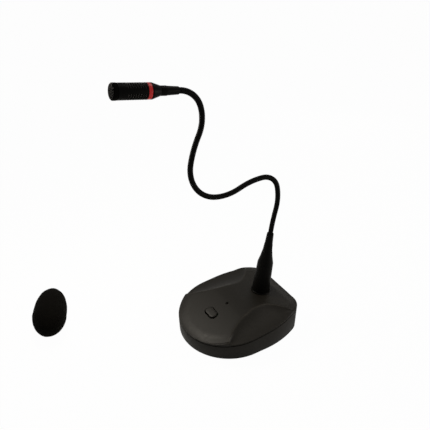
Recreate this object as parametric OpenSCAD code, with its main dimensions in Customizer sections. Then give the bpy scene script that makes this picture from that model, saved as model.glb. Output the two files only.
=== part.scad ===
// Gooseneck conference microphone for a desk.
// Millimetres, +Z up. The origin is on the table under the middle of the base, and the front faces -Y.

/* [Base] */
// Width of the base, and the diameter of its round nose
base_w = 122; // [110:1:134]
// Length of the base from the nose to the back
base_len = 137; // [128:1:150]
// Straight stretch of the side behind the nose
side_straight = 15.5; // [8:0.5:22]
// Radius of the long side arc
side_r = 114; // [95:1:140]
// Radius of the back corners
corner_r = 21; // [12:1:26]
// Height of the parting line at the nose
rim_front = 19.4; // [17:0.2:19.6]
// Height of the parting line at the back
rim_back = 33; // [30:0.5:35]
// How far the foot of the wall is drawn in
draft = 0.6; // [0.4:0.1:3]
// Thickness of the moulded walls
wall = 2.4; // [1.8:0.1:3]
// Thickness of the tray's floor
floor_t = 2.5; // [1.8:0.1:4]
// Height of the groove on the parting line
groove_h = 0.8; // [0.4:0.1:1.4]
// Depth of the groove on the parting line
groove_in = 1.0; // [0.5:0.1:1.4]
// Thickness of the rubber pad under the base
pad_t = 1.5; // [1:0.1:3]
// Thickness of the steel ballast plate
ballast_t = 6; // [3:0.5:8]

/* [Cover] */
// Height of the cover at its nose
nose_z = 20.4; // [20.2:0.1:23]
// Slope of the front panel in degrees
front_slope = 14.5; // [11:0.5:16]
// Height of the cover at its back edge
back_z = 35; // [34:0.5:38]
// Fall of the rear panel towards the back in degrees
rear_slope = 3.4; // [1:0.2:6]
// Softness of the ridge between the two panels
ridge_soft = 3; // [1:0.5:6]
// Height of the cover's edge above the parting line inside the scallops
lip = 1; // [0.9:0.1:2.4]
// Rounding of the cover's edge
edge_r = 0.7; // [0.4:0.1:0.8]
// Narrowest width between the two scallops
waist_w = 52; // [44:1:60]
// Distance of the waist from the back
waist_back = 46.5; // [40:0.5:52]
// How far the scallops widen from the waist to the sides
scallop_rise = 26; // [22:1:30]
// Length of the scallop in front of the waist
scallop_front = 63; // [55:1:70]
// Length of the scallop behind the waist
scallop_back = 30; // [26:1:34]
// How quickly the scallop falls away from its crease
scallop_fall = 2.2; // [1.4:0.1:3]

/* [Push button] */
// Distance of the button from the nose
button_front = 37; // [34:0.5:41]
// Length of the button across the base
button_l = 17.2; // [14:0.2:20]
// Width of the button along the base
button_w = 9.6; // [8:0.2:12]
// Corner radius of the button
button_r = 4; // [2:0.2:4]
// How far the button stands proud
button_proud = 1.6; // [1.5:0.1:2.4]
// Gap round the button
button_gap = 1; // [0.4:0.1:1.4]
// Travel of the button
button_travel = 1.5; // [0.8:0.1:1.5]
// Distance of the status light behind the button, along the panel
led_back = 22.8; // [18:0.2:26]
// Diameter of the status light
led_d = 3; // [2:0.1:4]

/* [Mast] */
// Distance of the mast from the back
mast_back = 28.1; // [26:0.1:32]
// Backward lean of the mast in degrees
mast_lean = 7; // [0:0.5:10]
// Diameter of the bezel round the foot of the mast
bezel_d = 24.4; // [23.5:0.1:28]
// Diameter of the sleeve at its foot
sleeve_d = 22; // [20:0.1:23]
// Diameter of the sleeve at its top seam
seam_d = 19.2; // [17:0.1:21]
// Height of the seam above the foot
seam_s = 39.3; // [34:0.1:44]
// Height of the straight part of the collar above the seam
collar_h = 1.4; // [1:0.1:8]
// Height of the collar's shoulder
shoulder_h = 16.8; // [14:0.1:20]
// Height of the bend in the shoulder
bend_h = 8.3; // [6:0.1:10]
// Diameter of the shoulder at its bend
bend_d = 15; // [13.5:0.1:17]
// Diameter at the top of the shoulder
shoulder_d = 12; // [11.2:0.1:14]
// Height of the stepped ring above the shoulder
step_h = 8.5; // [5:0.5:12]
// Diameter at the top of the stepped ring
step_d = 10.3; // [9.4:0.1:10.8]
// Length of the tapered ferrule
ferrule_h = 15; // [10:0.5:20]
// Diameter at the top of the ferrule
ferrule_d = 8; // [7.4:0.1:9]
// Diameter of the channel for the wires
wire_d = 3; // [2:0.1:3.4]

/* [Gooseneck] */
// Outer diameter of the gooseneck
neck_d = 6; // [5.4:0.1:6.4]
// Length of one link
link_len = 30; // [26:0.5:34]
// Distance between two turns of the winding
rib_pitch = 1.5; // [1.5:0.1:2.5]
// Depth of the winding's grooves
rib_depth = 0.25; // [0.1:0.05:0.4]
// Clearance of the ball in its cup
ball_gap = 0.3; // [0.2:0.05:0.4]

/* [Head] */
// Diameter of the head
head_d = 15; // [14:0.1:18]
// Length of the sleeve behind the head
head_sleeve_h = 19.7; // [16:0.1:22]
// Diameter of that sleeve at the gooseneck
head_sleeve_d = 7.4; // [7.2:0.1:8.4]
// Diameter of that sleeve at the cone
cone_d = 9.2; // [8.5:0.1:10]
// Length of the cone
cone_h = 10.1; // [7:0.1:12]
// Length of the light ring
light_h = 3.5; // [3.5:0.1:8]
// Length of the slotted tube
tube_h = 27.9; // [27.8:0.1:34]
// Length of the front cap
cap_h = 4.8; // [3.5:0.1:7]
// Wall of the head's tubes
head_wall = 1.3; // [1:0.1:1.8]
// Number of slots along the head
slot_n = 8; // [4:1:8]
// Distance between two slots
slot_pitch = 2.35; // [2.1:0.05:2.4]
// Width of a slot along the head
slot_w = 1.1; // [0.6:0.1:1.4]
// Length of a slot round the head in degrees
slot_arc = 140; // [90:1:150]
// Roll of the slots about the head's axis in degrees
slot_roll = 15; // [0:1:30]
// Diameter of the microphone capsule
capsule_d = 9.7; // [8:0.1:10]
// Length of the microphone capsule
capsule_h = 6.7; // [4:0.1:8]
// Diameter of a hole in the front grille
grille_hole_d = 1.5; // [0.8:0.1:1.7]

/* [Inlet] */
// Height of the inlet's axis above the table
inlet_z = 16.5; // [15.5:0.1:17.5]
// Bore of the inlet's shell
inlet_bore_d = 19.2; // [18.8:0.1:19.6]
// Depth of the inlet's bore
inlet_depth = 13.5; // [11:0.5:14]
// Diameter of a contact pin
pin_d = 2.4; // [2:0.1:2.6]
// Diameter of the circle of the three pins
pin_circle = 7.4; // [6.5:0.1:8.5]

/* [Windscreen] */
// Length of the foam windscreen
foam_len = 72; // [60:1:90]
// Largest diameter of the foam windscreen
foam_d = 40.2; // [36:0.2:50]
// Diameter of its mouth end
foam_mouth_d = 20; // [18:1:28]
// Diameter of the hollow for the head
foam_bore_d = 14; // [12:0.5:16]
// Depth of the hollow for the head
foam_bore_h = 40; // [30:1:46]
// Place of the windscreen across the table
foam_x = -78; // [-120:1:-70]
// Place of the windscreen along the table
foam_y = -210; // [-230:1:-170]
// Turn of its mouth from straight left towards the back, in degrees
foam_turn = 21; // [0:1:45]

/* [Hidden] */
$fn = 64;
eps = 0.01;

// Bend of each link in degrees, from the mast to the head. A positive bend turns forwards.
link_bend = [-6.5, 27, 75.5, 22.5, -32.5, -46.5, -43.5, -15, 42, 66];

// Clearance of a part that seats in another, and of a screw in its hole
seat_gap = 0.05;

charcoal = "#2e2b28";
soot = "#151414";
black = "#0c0c0c";
steel = "#8c8f92";
brass = "#b89a55";
board_green = "#1e5a36";
ring_red = "#d01a1a";

// Outline of the base: steps along the right half, from the tip of the nose to the back corner.
// Each step is the centre of its arc, the arc's radius and the direction of the wall's normal.
half_w = base_w / 2;
front_y = -base_len / 2;
back_y = base_len / 2;
button_y = front_y + button_front;
waist_y = back_y - waist_back;
mast_y = back_y - mast_back;
nose_y = front_y + half_w;
side_y = nose_y + side_straight;
side_x = half_w - side_r;
corner_y = back_y - corner_r;
corner_x = side_x + sqrt(pow(side_r - corner_r, 2) - pow(corner_y - side_y, 2));
corner_a = 90 + asin((corner_y - side_y) / (side_r - corner_r));
nose_steps = 12;
side_steps = 8;
corner_steps = 7;
outline = concat(
    [for (k = [0:nose_steps]) [[0, nose_y], half_w, 90 * k / nose_steps]],
    [for (k = [0:side_steps - 1]) [[side_x, side_y], side_r, 90 + (corner_a - 90) * k / side_steps]],
    [for (k = [0:corner_steps])
        [[corner_x, corner_y], corner_r, corner_a + (180 - corner_a) * k / corner_steps]]);
last = len(outline) - 1;

function wall_point(k, d) = let (a = outline[k]) a[0] + (a[1] - d) * [sin(a[2]), -cos(a[2])];
function flip(p) = [-p[0], p[1]];
function wall_loop(d) = concat(
    [for (k = [0:last]) wall_point(k, d)],
    [for (k = [last:-1:1]) flip(wall_point(k, d))]);

// Heights of the parting plane and of the cover's panels
rim_tilt = atan((rim_back - rim_front) / base_len);
rim_mid = (rim_front + rim_back) / 2;
function rim_z(y) = rim_mid + tan(rim_tilt) * y;
function front_z(y) = nose_z + tan(front_slope) * (y - front_y);
function rear_z(y) = back_z + tan(rear_slope) * (back_y - y);
function soft_min(a, b) = (a + b - sqrt(pow(a - b, 2) + pow(ridge_soft, 2))) / 2;
function spine_z(y) = soft_min(front_z(y), rear_z(y));
function crease_x(y) = waist_w / 2
    + scallop_rise * pow((y - waist_y) / (y < waist_y ? scallop_front : scallop_back), 2);
function lip_z(y) = rim_z(y) + lip;

// Height of the cover at x, y where the cover is w wide to each side
function cover_z(x, y, w) = let (c = crease_x(y), s = (abs(x) - c) / max(w - c, eps))
    c >= w || s <= 0 ? spine_z(y)
    : lip_z(y) + (spine_z(y) - lip_z(y)) * pow(max(1 - s, 0), scallop_fall);

// Columns across the cover: the panel between the creases, then each scallop
panel_cols = 6;
scallop_cols = 6;
side_cols = panel_cols + scallop_cols;
cols = 2 * side_cols;
crease_share = 0.96;
function col_x(i, y, w) = let (
        c = min(crease_x(y), crease_share * w),
        n = abs(i - side_cols),
        x = n <= panel_cols ? c * n / panel_cols : c + (w - c) * (n - panel_cols) / scallop_cols)
    i < side_cols ? -x : x;

// One skin of the cover, drawn in by d from the wall and lowered by t
function skin_point(k, i, d, t) = let (p = wall_point(k, d), x = col_x(i, p[1], p[0]))
    [x, p[1], max(cover_z(x, p[1], p[0]) - t, rim_z(p[1]) + skin_least)];
function skin(d, t) = concat([skin_point(0, side_cols, d, t)],
    [for (k = [1:last], i = [0:cols]) skin_point(k, i, d, t)]);
skin_least = 0.3;
skin_n = 1 + last * (cols + 1);
edge_n = 2 * last + cols;
function at_skin(k, i) = k == 0 ? 0 : 1 + (k - 1) * (cols + 1) + i;
function at_edge(j) = j == 0 ? 0
    : j <= last ? at_skin(j, cols)
    : j <= last + cols ? at_skin(last, cols - (j - last))
    : at_skin(2 * last + cols - j, 0);
function edge_xy(j, d) = j <= last ? wall_point(j, d)
    : j <= last + cols ? let (p = wall_point(last, d)) [col_x(cols - (j - last), p[1], p[0]), p[1]]
    : flip(wall_point(2 * last + cols - j, d));
function flat_loop(d, z) = [for (j = [0:edge_n - 1])
    let (p = edge_xy(j, d)) [p[0], p[1], rim_z(p[1]) + z]];
function round_loop(top, d, drop) = [for (j = [0:edge_n - 1])
    let (p = edge_xy(j, d)) [p[0], p[1], top[at_edge(j)][2] - drop]];
function skin_faces(start, up) = [for (k = [0:last - 1], i = [0:cols - 1]) each
    let (a = start + at_skin(k, i), b = start + at_skin(k + 1, i),
         c = start + at_skin(k + 1, i + 1), d = start + at_skin(k, i + 1))
    k == 0 ? (up ? [[a, b, c]] : [[a, c, b]])
           : (up ? [[a, b, c], [a, c, d]] : [[a, c, b], [a, d, c]])];
function strip(upper, lower) = [for (j = [0:len(upper) - 1]) each
    let (k = (j + 1) % len(upper)) [[upper[j], upper[k], lower[k]], [upper[j], lower[k], lower[j]]]];
function count_from(start, n) = [for (j = [0:n - 1]) start + j];

// Frame of the front panel at the button: z is square to the panel
module on_panel() {
    translate([0, button_y, front_z(button_y)]) rotate([front_slope, 0, 0]) children();
}

// Frame of the mast: z runs up the mast from the foot
module on_mast() {
    translate([0, mast_y, spine_z(mast_y)]) rotate([-mast_lean, 0, 0]) children();
}

module tube(outer_d, inner_d, h) {
    difference() {
        cylinder(d = outer_d, h = h);
        translate([0, 0, -eps]) cylinder(d = inner_d, h = h + 2 * eps);
    }
}

// A bar with four round corners, standing on z = 0
module round_bar(l, w, r, h) {
    translate([-l / 2, -w / 2 + r, 0]) cube([l, w - 2 * r, h]);
    translate([-l / 2 + r, -w / 2, 0]) cube([l - 2 * r, w, h]);
    for (x = [-1, 1], y = [-1, 1])
        translate([x * (l / 2 - r), y * (w / 2 - r), 0]) cylinder(r = r, h = h);
}

// Cover screws: two near the nose and two near the back
screw_d = 3;
screw_head_d = 6;
screw_head_h = 2.2;
screw_seat = 6;
screw_bite = 8;
post_drop = 6;
post_d = 9;
front_post = [34, front_y + 24.5];
rear_post = [30, back_y - 18.5];
screw_head_gap = 0.2;
posts = [front_post, flip(front_post), rear_post, flip(rear_post)];
function post_top(p) = rim_z(p[1]) - post_drop;

// Circuit board under the front panel
board_depth = 11.4;
board_t = 1.6;
board_w = 40;
board_front = 13;
board_back = 31;
standoff_d = 6;
standoff_x = 16;
standoff_front = -8;
standoff_back = 27;
standoffs = [for (x = [-1, 1], y = [standoff_front, standoff_back]) [x * standoff_x, y]];
board_screw_d = 2.2;
board_screw_head_d = 4.4;
board_screw_head_h = 1.6;
board_screw_len = 7;

// Socket of the mast in the cover
socket_boss_d = 30;
socket_boss_h = 6;
bezel_t = 2;
bezel_edge = 0.6;
bezel_seat = -1;
spigot_d = 14;
spigot_bore = 9;
washer_t = 1;
washer_d = 22;
nut_af = 17;
nut_h = 4;
boss_foot = bezel_seat - socket_boss_h;
spigot_foot = boss_foot - washer_t - nut_h - 1;
ceiling_cut = wall / 2;

module base_cover() {
    top = skin(edge_r, 0);
    under = skin(wall, wall);
    points = concat(top, round_loop(top, 0.3 * edge_r, 0.3 * edge_r), round_loop(top, 0, edge_r),
        flat_loop(0, 0), flat_loop(wall, 0), under);
    loops = [for (n = [0:3]) count_from(skin_n + n * edge_n, edge_n)];
    top_edge = [for (j = [0:edge_n - 1]) at_edge(j)];
    under_start = skin_n + 4 * edge_n;
    under_edge = [for (j = top_edge) under_start + j];
    faces = concat(skin_faces(0, true), strip(top_edge, loops[0]), strip(loops[0], loops[1]),
        strip(loops[1], loops[2]), strip(loops[2], loops[3]), strip(loops[3], under_edge),
        skin_faces(under_start, false));
    color(charcoal) difference() {
        union() {
            polyhedron(points, faces);
            for (p = posts) cover_boss(p);
            on_panel() for (p = standoffs) translate([p[0], p[1], -board_depth])
                cylinder(d = standoff_d, h = board_depth - ceiling_cut);
            on_mast() translate([0, 0, boss_foot]) cylinder(d = socket_boss_d, h = socket_boss_h);
        }
        for (p = posts) translate([p[0], p[1], post_top(p) - eps])
            cylinder(d = screw_d + 2 * seat_gap, h = screw_bite + 1);
        on_panel() {
            for (p = standoffs) translate([p[0], p[1], -board_depth - eps])
                cylinder(d = board_screw_d + 2 * seat_gap, h = board_screw_len);
            translate([0, led_back, -2 * wall]) cylinder(d = led_d + 2 * led_gap, h = 4 * wall);
            translate([0, 0, -2 * wall])
                round_bar(window_l, window_w, button_r + button_gap, 4 * wall);
        }
        on_mast() {
            translate([0, 0, bezel_seat]) cylinder(d = bezel_d + 2 * seat_gap, h = 2 * bezel_d);
            translate([0, 0, boss_foot - eps])
                cylinder(d = spigot_d + 2 * seat_gap, h = 2 * socket_boss_h);
        }
    }
}
led_gap = 0.2;
window_l = button_l + 2 * button_gap;
window_w = button_w + 2 * button_gap;

// Boss of a cover screw, from the top of the tray's post up into the panel
module cover_boss(p) {
    a = p[1] < 0 ? front_slope : -rear_slope;
    intersection() {
        translate([p[0], p[1], post_top(p)]) cylinder(d = post_d, h = base_len);
        translate([0, p[1], spine_z(p[1]) - ceiling_cut]) rotate([a, 0, 0])
            translate([-base_len, -base_len, -base_len]) cube([2 * base_len, 2 * base_len, base_len]);
    }
}

// Tray: the wall from the table up to the parting plane, with a tongue that the cover stands on
foot_r = 1.2;
tray_z = pad_t;
floor_z = tray_z + floor_t;
tongue_t = wall;
tray_wall = groove_in + tongue_t;
inlet_edge = 0.5;
inlet_sunk = 0.4;
inlet_pad_d = 2 * (inlet_z - tray_z - inlet_edge);
inlet_face_y = back_y - inlet_sunk;
inlet_flange_t = 1.8;
inlet_seat_y = inlet_face_y - inlet_flange_t;
inlet_flange_d = 25.6;
inlet_wall = 1.4;
inlet_shell_d = inlet_bore_d + 2 * inlet_wall;
inlet_pad_in = 7;
inlet_pad_y = inlet_seat_y - inlet_pad_in;

module base_tray() {
    n = len(wall_loop(0));
    function ring(d, z) = [for (p = wall_loop(d)) [p[0], p[1], z]];
    function rim_ring(d, z) = [for (p = wall_loop(d)) [p[0], p[1], rim_z(p[1]) + z]];
    rings = [ring(draft + foot_r, tray_z), ring(draft + 0.3 * foot_r, tray_z + 0.3 * foot_r),
        ring(draft, tray_z + foot_r), rim_ring(0, -groove_h), rim_ring(groove_in, -groove_h),
        rim_ring(groove_in, 0), rim_ring(tray_wall, 0), ring(draft + tray_wall, floor_z)];
    points = [for (r = rings) each r];
    faces = concat([count_from(0, n)],
        [for (m = [1:len(rings) - 1]) each strip(count_from(m * n, n), count_from((m - 1) * n, n))],
        [[for (j = [n - 1:-1:0]) (len(rings) - 1) * n + j]]);
    color(charcoal) difference() {
        union() {
            polyhedron(points, faces);
            for (p = posts) translate([p[0], p[1], floor_z - eps])
                cylinder(d = post_d, h = post_top(p) - floor_z + eps);
            translate([0, inlet_pad_y, inlet_z]) rotate([-90, 0, 0])
                cylinder(d = inlet_pad_d, h = inlet_pad_in - seat_gap);
        }
        for (p = posts) translate([p[0], p[1], 0]) {
            cylinder(d = screw_head_d + 2 * screw_head_gap, h = post_top(p) - screw_seat);
            cylinder(d = screw_d + 2 * seat_gap, h = base_len);
        }
        translate([0, inlet_pad_y - eps, inlet_z]) rotate([-90, 0, 0])
            cylinder(d = inlet_shell_d + 2 * seat_gap, h = base_len);
        translate([0, inlet_seat_y, inlet_z]) rotate([-90, 0, 0])
            cylinder(d = inlet_flange_d + 2 * seat_gap, h = base_len);
    }
}

module base_pad() {
    pad_in = draft + foot_r + 3;
    color(black) linear_extrude(pad_t) polygon(wall_loop(pad_in));
}

module ballast_plate() {
    ballast_in = 17;
    ballast_back = 38.5;
    post_gap = 0.7;
    color(steel) translate([0, 0, floor_z]) linear_extrude(ballast_t) difference() {
        intersection() {
            polygon(wall_loop(ballast_in));
            translate([-base_w, back_y - ballast_back - 2 * base_len]) square([2 * base_w, 2 * base_len]);
        }
        for (p = posts) translate(p) circle(d = post_d + 2 * post_gap);
    }
}

module screw(d, shank, head_d, head_h) {
    translate([0, 0, -head_h]) cylinder(d = head_d, h = head_h);
    translate([0, 0, -eps]) cylinder(d = d, h = shank + eps);
}

module cover_screws() {
    color(steel) for (p = posts) translate([p[0], p[1], post_top(p) - screw_seat])
        screw(screw_d, screw_seat + screw_bite, screw_head_d, screw_head_h);
}

// Push button with a flange under the panel that keeps it in
flange_t = 1.4;
flange_gap = 0.3;
flange_top = -wall - flange_gap;
flange_over = 2;
dome_drop = 0.5;
plunger_d = 3.4;
plunger_in = 2;
plunger_spare = 0.5;
switch_w = 8.5;
switch_h = 5;
switch_top = -board_depth + switch_h;
plunger_foot = switch_top - plunger_in;

module push_button() {
    color(soot) on_panel() {
        translate([0, 0, flange_top - flange_t])
            round_bar(button_l + 2 * flange_over, button_w + 2 * flange_over, button_r, flange_t);
        translate([0, 0, flange_top - eps])
            round_bar(button_l, button_w, button_r, button_proud - dome_drop - flange_top + eps);
        translate([0, 0, button_proud - dome_drop - eps])
            round_bar(button_l - 2 * dome_drop, button_w - 2 * dome_drop,
                button_r - dome_drop, dome_drop + eps);
    }
}

module switch_plunger() {
    color(black) on_panel() translate([0, 0, plunger_foot])
        cylinder(d = plunger_d, h = flange_top - flange_t - plunger_foot);
}

module switch_body() {
    color(soot) on_panel() difference() {
        translate([-switch_w / 2, -switch_w / 2, -board_depth]) cube([switch_w, switch_w, switch_h]);
        translate([0, 0, plunger_foot - button_travel - plunger_spare])
            cylinder(d = plunger_d + 2 * seat_gap, h = switch_h);
    }
}

module circuit_board() {
    color(board_green) on_panel() difference() {
        translate([-board_w / 2, -board_front, -board_depth - board_t])
            cube([board_w, board_front + board_back, board_t]);
        for (p = standoffs) translate([p[0], p[1], -board_depth - 2 * board_t])
            cylinder(d = board_screw_d + 2 * seat_gap, h = 3 * board_t);
    }
}

module board_screws() {
    color(steel) on_panel() for (p = standoffs) translate([p[0], p[1], -board_depth - board_t])
        screw(board_screw_d, board_screw_len - 1, board_screw_head_d, board_screw_head_h);
}

module status_led() {
    led_top = -1.2;
    holder_d = 5;
    holder_h = 5;
    color(ring_red) on_panel() translate([0, led_back, -board_depth]) {
        cylinder(d = holder_d, h = holder_h);
        cylinder(d = led_d, h = board_depth + led_top - led_d / 2);
        translate([0, 0, board_depth + led_top - led_d / 2]) sphere(d = led_d);
    }
}

// Three-pin inlet in the back wall, for the lead
inlet_back_y = inlet_face_y - inlet_depth;
insert_h = 4;

module on_inlet(y) {
    translate([0, y, inlet_z]) rotate([-90, 0, 0]) children();
}

module inlet_shell() {
    color(black) difference() {
        union() {
            on_inlet(inlet_back_y - insert_h)
                cylinder(d = inlet_shell_d, h = inlet_seat_y - inlet_back_y + insert_h);
            on_inlet(inlet_seat_y) cylinder(d = inlet_flange_d, h = inlet_flange_t);
        }
        on_inlet(inlet_back_y - insert_h - eps) cylinder(d = inlet_bore_d, h = base_len);
    }
}

module inlet_nut() {
    nut_over = 2.5;
    nut_gap = 0.3;
    nut_d = min(inlet_shell_d + 2 * nut_over, 2 * (inlet_z - floor_z - nut_gap));
    nut_t = 3;
    color(black) on_inlet(inlet_pad_y - nut_t) tube(nut_d, inlet_shell_d + 2 * seat_gap, nut_t);
}

pin_angles = [0, 180, 90];
pin_len = 10.5;
pin_tail = 3;

module at_pins() {
    for (a = pin_angles) on_inlet(inlet_back_y) rotate([0, 0, a])
        translate([pin_circle / 2, 0, 0]) children();
}

module inlet_insert() {
    color(soot) difference() {
        on_inlet(inlet_back_y - insert_h) cylinder(d = inlet_bore_d - 2 * seat_gap, h = insert_h);
        at_pins() translate([0, 0, -2 * insert_h]) cylinder(d = pin_d + 2 * seat_gap, h = 4 * insert_h);
    }
}

module inlet_pins() {
    color(brass) at_pins() {
        translate([0, 0, -insert_h - pin_tail])
            cylinder(d = pin_d, h = insert_h + pin_tail + pin_len - pin_d / 2);
        translate([0, 0, pin_len - pin_d / 2]) sphere(d = pin_d);
    }
}

// Mast: bezel, tapered sleeve with its spigot, washer and nut, then the plug that carries the gooseneck
bezel_top = bezel_seat + bezel_t;
plug_d = 12;
plug_deep = 14;
collar_top = seam_s + collar_h;
shoulder_top = collar_top + shoulder_h;
step_top = shoulder_top + step_h;
ferrule_top = step_top + ferrule_h;
ferrule_lead = 1;
neck_s = ferrule_top + ball_gap + ferrule_lead;

module socket_bezel() {
    color(soot) on_mast() translate([0, 0, bezel_seat]) difference() {
        union() {
            cylinder(d = bezel_d, h = bezel_t - bezel_edge);
            translate([0, 0, bezel_t - bezel_edge])
                cylinder(d1 = bezel_d, d2 = bezel_d - 2 * bezel_edge, h = bezel_edge);
        }
        translate([0, 0, -eps]) cylinder(d = spigot_d + 2 * seat_gap, h = bezel_t + 2 * eps);
    }
}

module mast_sleeve() {
    color(black) on_mast() difference() {
        union() {
            translate([0, 0, bezel_top]) cylinder(d1 = sleeve_d, d2 = seam_d, h = seam_s - bezel_top);
            translate([0, 0, spigot_foot]) cylinder(d = spigot_d, h = bezel_top - spigot_foot + eps);
        }
        translate([0, 0, spigot_foot - eps]) cylinder(d = spigot_bore, h = seam_s - spigot_foot + 1);
        translate([0, 0, seam_s - plug_deep]) cylinder(d = plug_d + 2 * seat_gap, h = plug_deep + 1);
    }
}

module mast_washer() {
    color(steel) on_mast() translate([0, 0, boss_foot - washer_t])
        tube(washer_d, spigot_d + 2 * seat_gap, washer_t);
}

module mast_nut() {
    color(steel) on_mast() translate([0, 0, boss_foot - washer_t - nut_h]) difference() {
        cylinder(d = nut_af / cos(30), h = nut_h, $fn = 6);
        translate([0, 0, -eps]) cylinder(d = spigot_d + 2 * seat_gap, h = nut_h + 2 * eps);
    }
}

module plug_collar() {
    seam_groove = 0.4;
    color(black) on_mast() difference() {
        union() {
            translate([0, 0, seam_s - plug_deep]) cylinder(d = plug_d, h = plug_deep + collar_h);
            translate([0, 0, seam_s])
                cylinder(d1 = seam_d - 2 * seam_groove, d2 = seam_d, h = seam_groove);
            translate([0, 0, seam_s + seam_groove]) cylinder(d = seam_d, h = collar_h - seam_groove);
            translate([0, 0, collar_top]) cylinder(d1 = seam_d, d2 = bend_d, h = bend_h);
            translate([0, 0, collar_top + bend_h])
                cylinder(d1 = bend_d, d2 = shoulder_d, h = shoulder_h - bend_h);
        }
        translate([0, 0, seam_s - plug_deep - eps]) cylinder(d = wire_d, h = base_len);
    }
}

module step_ring() {
    ledge = 0.2;
    band = 1.4;
    band_step = 0.15;
    color(black) on_mast() translate([0, 0, shoulder_top]) difference() {
        union() {
            cylinder(d = shoulder_d - 2 * ledge, h = band);
            translate([0, 0, band])
                cylinder(d1 = shoulder_d - 2 * ledge - 2 * band_step, d2 = step_d, h = step_h - band);
        }
        translate([0, 0, -eps]) cylinder(d = wire_d, h = step_h + 2 * eps);
    }
}

module neck_ferrule() {
    bead = 1.2;
    bead_in = 0.2;
    taper_in = 0.35;
    color(soot) difference() {
        on_mast() translate([0, 0, step_top]) union() {
            cylinder(d = step_d - 2 * bead_in, h = bead);
            translate([0, 0, bead])
                cylinder(d1 = step_d - 2 * taper_in, d2 = ferrule_d, h = ferrule_h - bead);
        }
        on_mast() translate([0, 0, step_top - eps]) cylinder(d = wire_d, h = ferrule_h + 1);
        on_mast() translate([0, 0, neck_s]) sphere(r = cup_r);
    }
}

// Gooseneck: bent links in the plane x = 0, each with a ball at its start and a cup at its end
ball_r = neck_d / 2;
cup_r = ball_r + ball_gap;
core_r = ball_r - rib_depth;
rib_t = 0.62 * rib_pitch;
rib_first = 1;
rib_last = cup_r + 0.4;
rib_n = floor((link_len - rib_first - rib_last) / rib_pitch) + 1;
core_s = rib_first + rib_t / 2;

function sum_to(list, n) = n <= 0 ? 0 : list[n - 1] + sum_to(list, n - 1);
function heading(k) = -mast_lean + sum_to(link_bend, k);
function turned(p, a) = [p[0], p[1] * cos(a) - p[2] * sin(a), p[1] * sin(a) + p[2] * cos(a)];
function bend_r(b) = link_len * 180 / (PI * abs(b));
function link_end(b) = b == 0 ? [0, 0, link_len]
    : [0, -sign(b) * bend_r(b) * (1 - cos(b)), bend_r(b) * sin(abs(b))];
neck_foot = [0, mast_y, spine_z(mast_y)] + turned([0, 0, neck_s], -mast_lean);
function joint_at(k) = k == 0 ? neck_foot
    : joint_at(k - 1) + turned(link_end(link_bend[k - 1]), heading(k - 1));

// A round bar of radius r along the curve of a link, from s to s + len
module along_link(b, r, s, len) {
    if (b == 0) translate([0, 0, s]) cylinder(r = r, h = len);
    else mirror([0, b < 0 ? 1 : 0, 0]) translate([0, -bend_r(b), 0]) rotate([90, 0, 90])
        rotate([0, 0, abs(b) * s / link_len]) rotate_extrude(angle = abs(b) * len / link_len)
            translate([bend_r(b), 0]) circle(r = r);
}

module neck_link(k) {
    b = link_bend[k];
    color(black) translate(joint_at(k)) rotate([heading(k), 0, 0]) difference() {
        union() {
            rotate([0, -90, 0]) sphere(r = ball_r);
            for (n = [0:rib_n - 1]) along_link(b, ball_r, rib_first + n * rib_pitch, rib_t);
            along_link(b, core_r, core_s, link_len - core_s);
        }
        translate([0, 0, -2 * ball_r]) cylinder(d = wire_d, h = 2 * ball_r);
        along_link(b, wire_d / 2, 0, link_len);
        translate(link_end(b)) rotate([b, 0, 0]) rotate([0, -90, 0]) sphere(r = cup_r);
    }
}

// Head: z runs along the head from its ball to the front
last_link = len(link_bend);
head_stub = 1.5;
cone_s = head_sleeve_h;
light_s = cone_s + cone_h;
tube_s = light_s + light_h;
cap_s = tube_s + tube_h;
front_s = cap_s + cap_h;
tube_in = head_d - 2 * head_wall;
spigot_h = 1;
light_wall = 1.9;
light_in = head_d - 2 * light_wall;
grille_t = 1.2;
foam_disc_h = 1.6;

module on_head() {
    translate(joint_at(last_link)) rotate([heading(last_link), 0, 0]) children();
}

module head_sleeve() {
    ring_h = 5.8;
    ring_step = 0.25;
    color(black) on_head() difference() {
        union() {
            rotate([0, -90, 0]) sphere(r = ball_r);
            cylinder(r = ball_r, h = head_stub + eps);
            translate([0, 0, head_stub])
                cylinder(d1 = head_sleeve_d, d2 = cone_d - 2 * ring_step,
                    h = cone_s - ring_h - head_stub);
            translate([0, 0, cone_s - ring_h]) cylinder(d = cone_d, h = ring_h);
        }
        translate([0, 0, -2 * ball_r]) cylinder(d = wire_d, h = base_len);
    }
}

module head_cone() {
    rim_h = 1.6;
    color(black) on_head() translate([0, 0, cone_s]) difference() {
        union() {
            cylinder(d1 = cone_d, d2 = head_d, h = cone_h - rim_h);
            translate([0, 0, cone_h - rim_h]) cylinder(d = head_d, h = rim_h);
            translate([0, 0, cone_h - eps]) cylinder(d = light_in - 2 * seat_gap, h = spigot_h + eps);
        }
        translate([0, 0, -eps]) cylinder(d = wire_d, h = base_len);
    }
}

module light_ring() {
    color(ring_red) on_head() translate([0, 0, light_s]) tube(head_d, light_in, light_h);
}

board_disc_t = 0.8;
board_disc_gap = 0.3;
board_disc_d = light_in - 2 * board_disc_gap;
board_disc_s = light_s + spigot_h;

module light_board() {
    color(board_green) on_head() translate([0, 0, board_disc_s])
        tube(board_disc_d, wire_d, board_disc_t);
}

module light_leds() {
    led_n = 4;
    chip_l = 2;
    chip_w = 1.2;
    chip_h = 0.6;
    chip_in = 0.4;
    color("white") on_head() for (a = [0:led_n - 1]) rotate([0, 0, 360 * a / led_n + 45])
        translate([board_disc_d / 2 - chip_w - chip_in, -chip_l / 2, board_disc_s + board_disc_t])
            cube([chip_w, chip_l, chip_h]);
}

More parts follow.
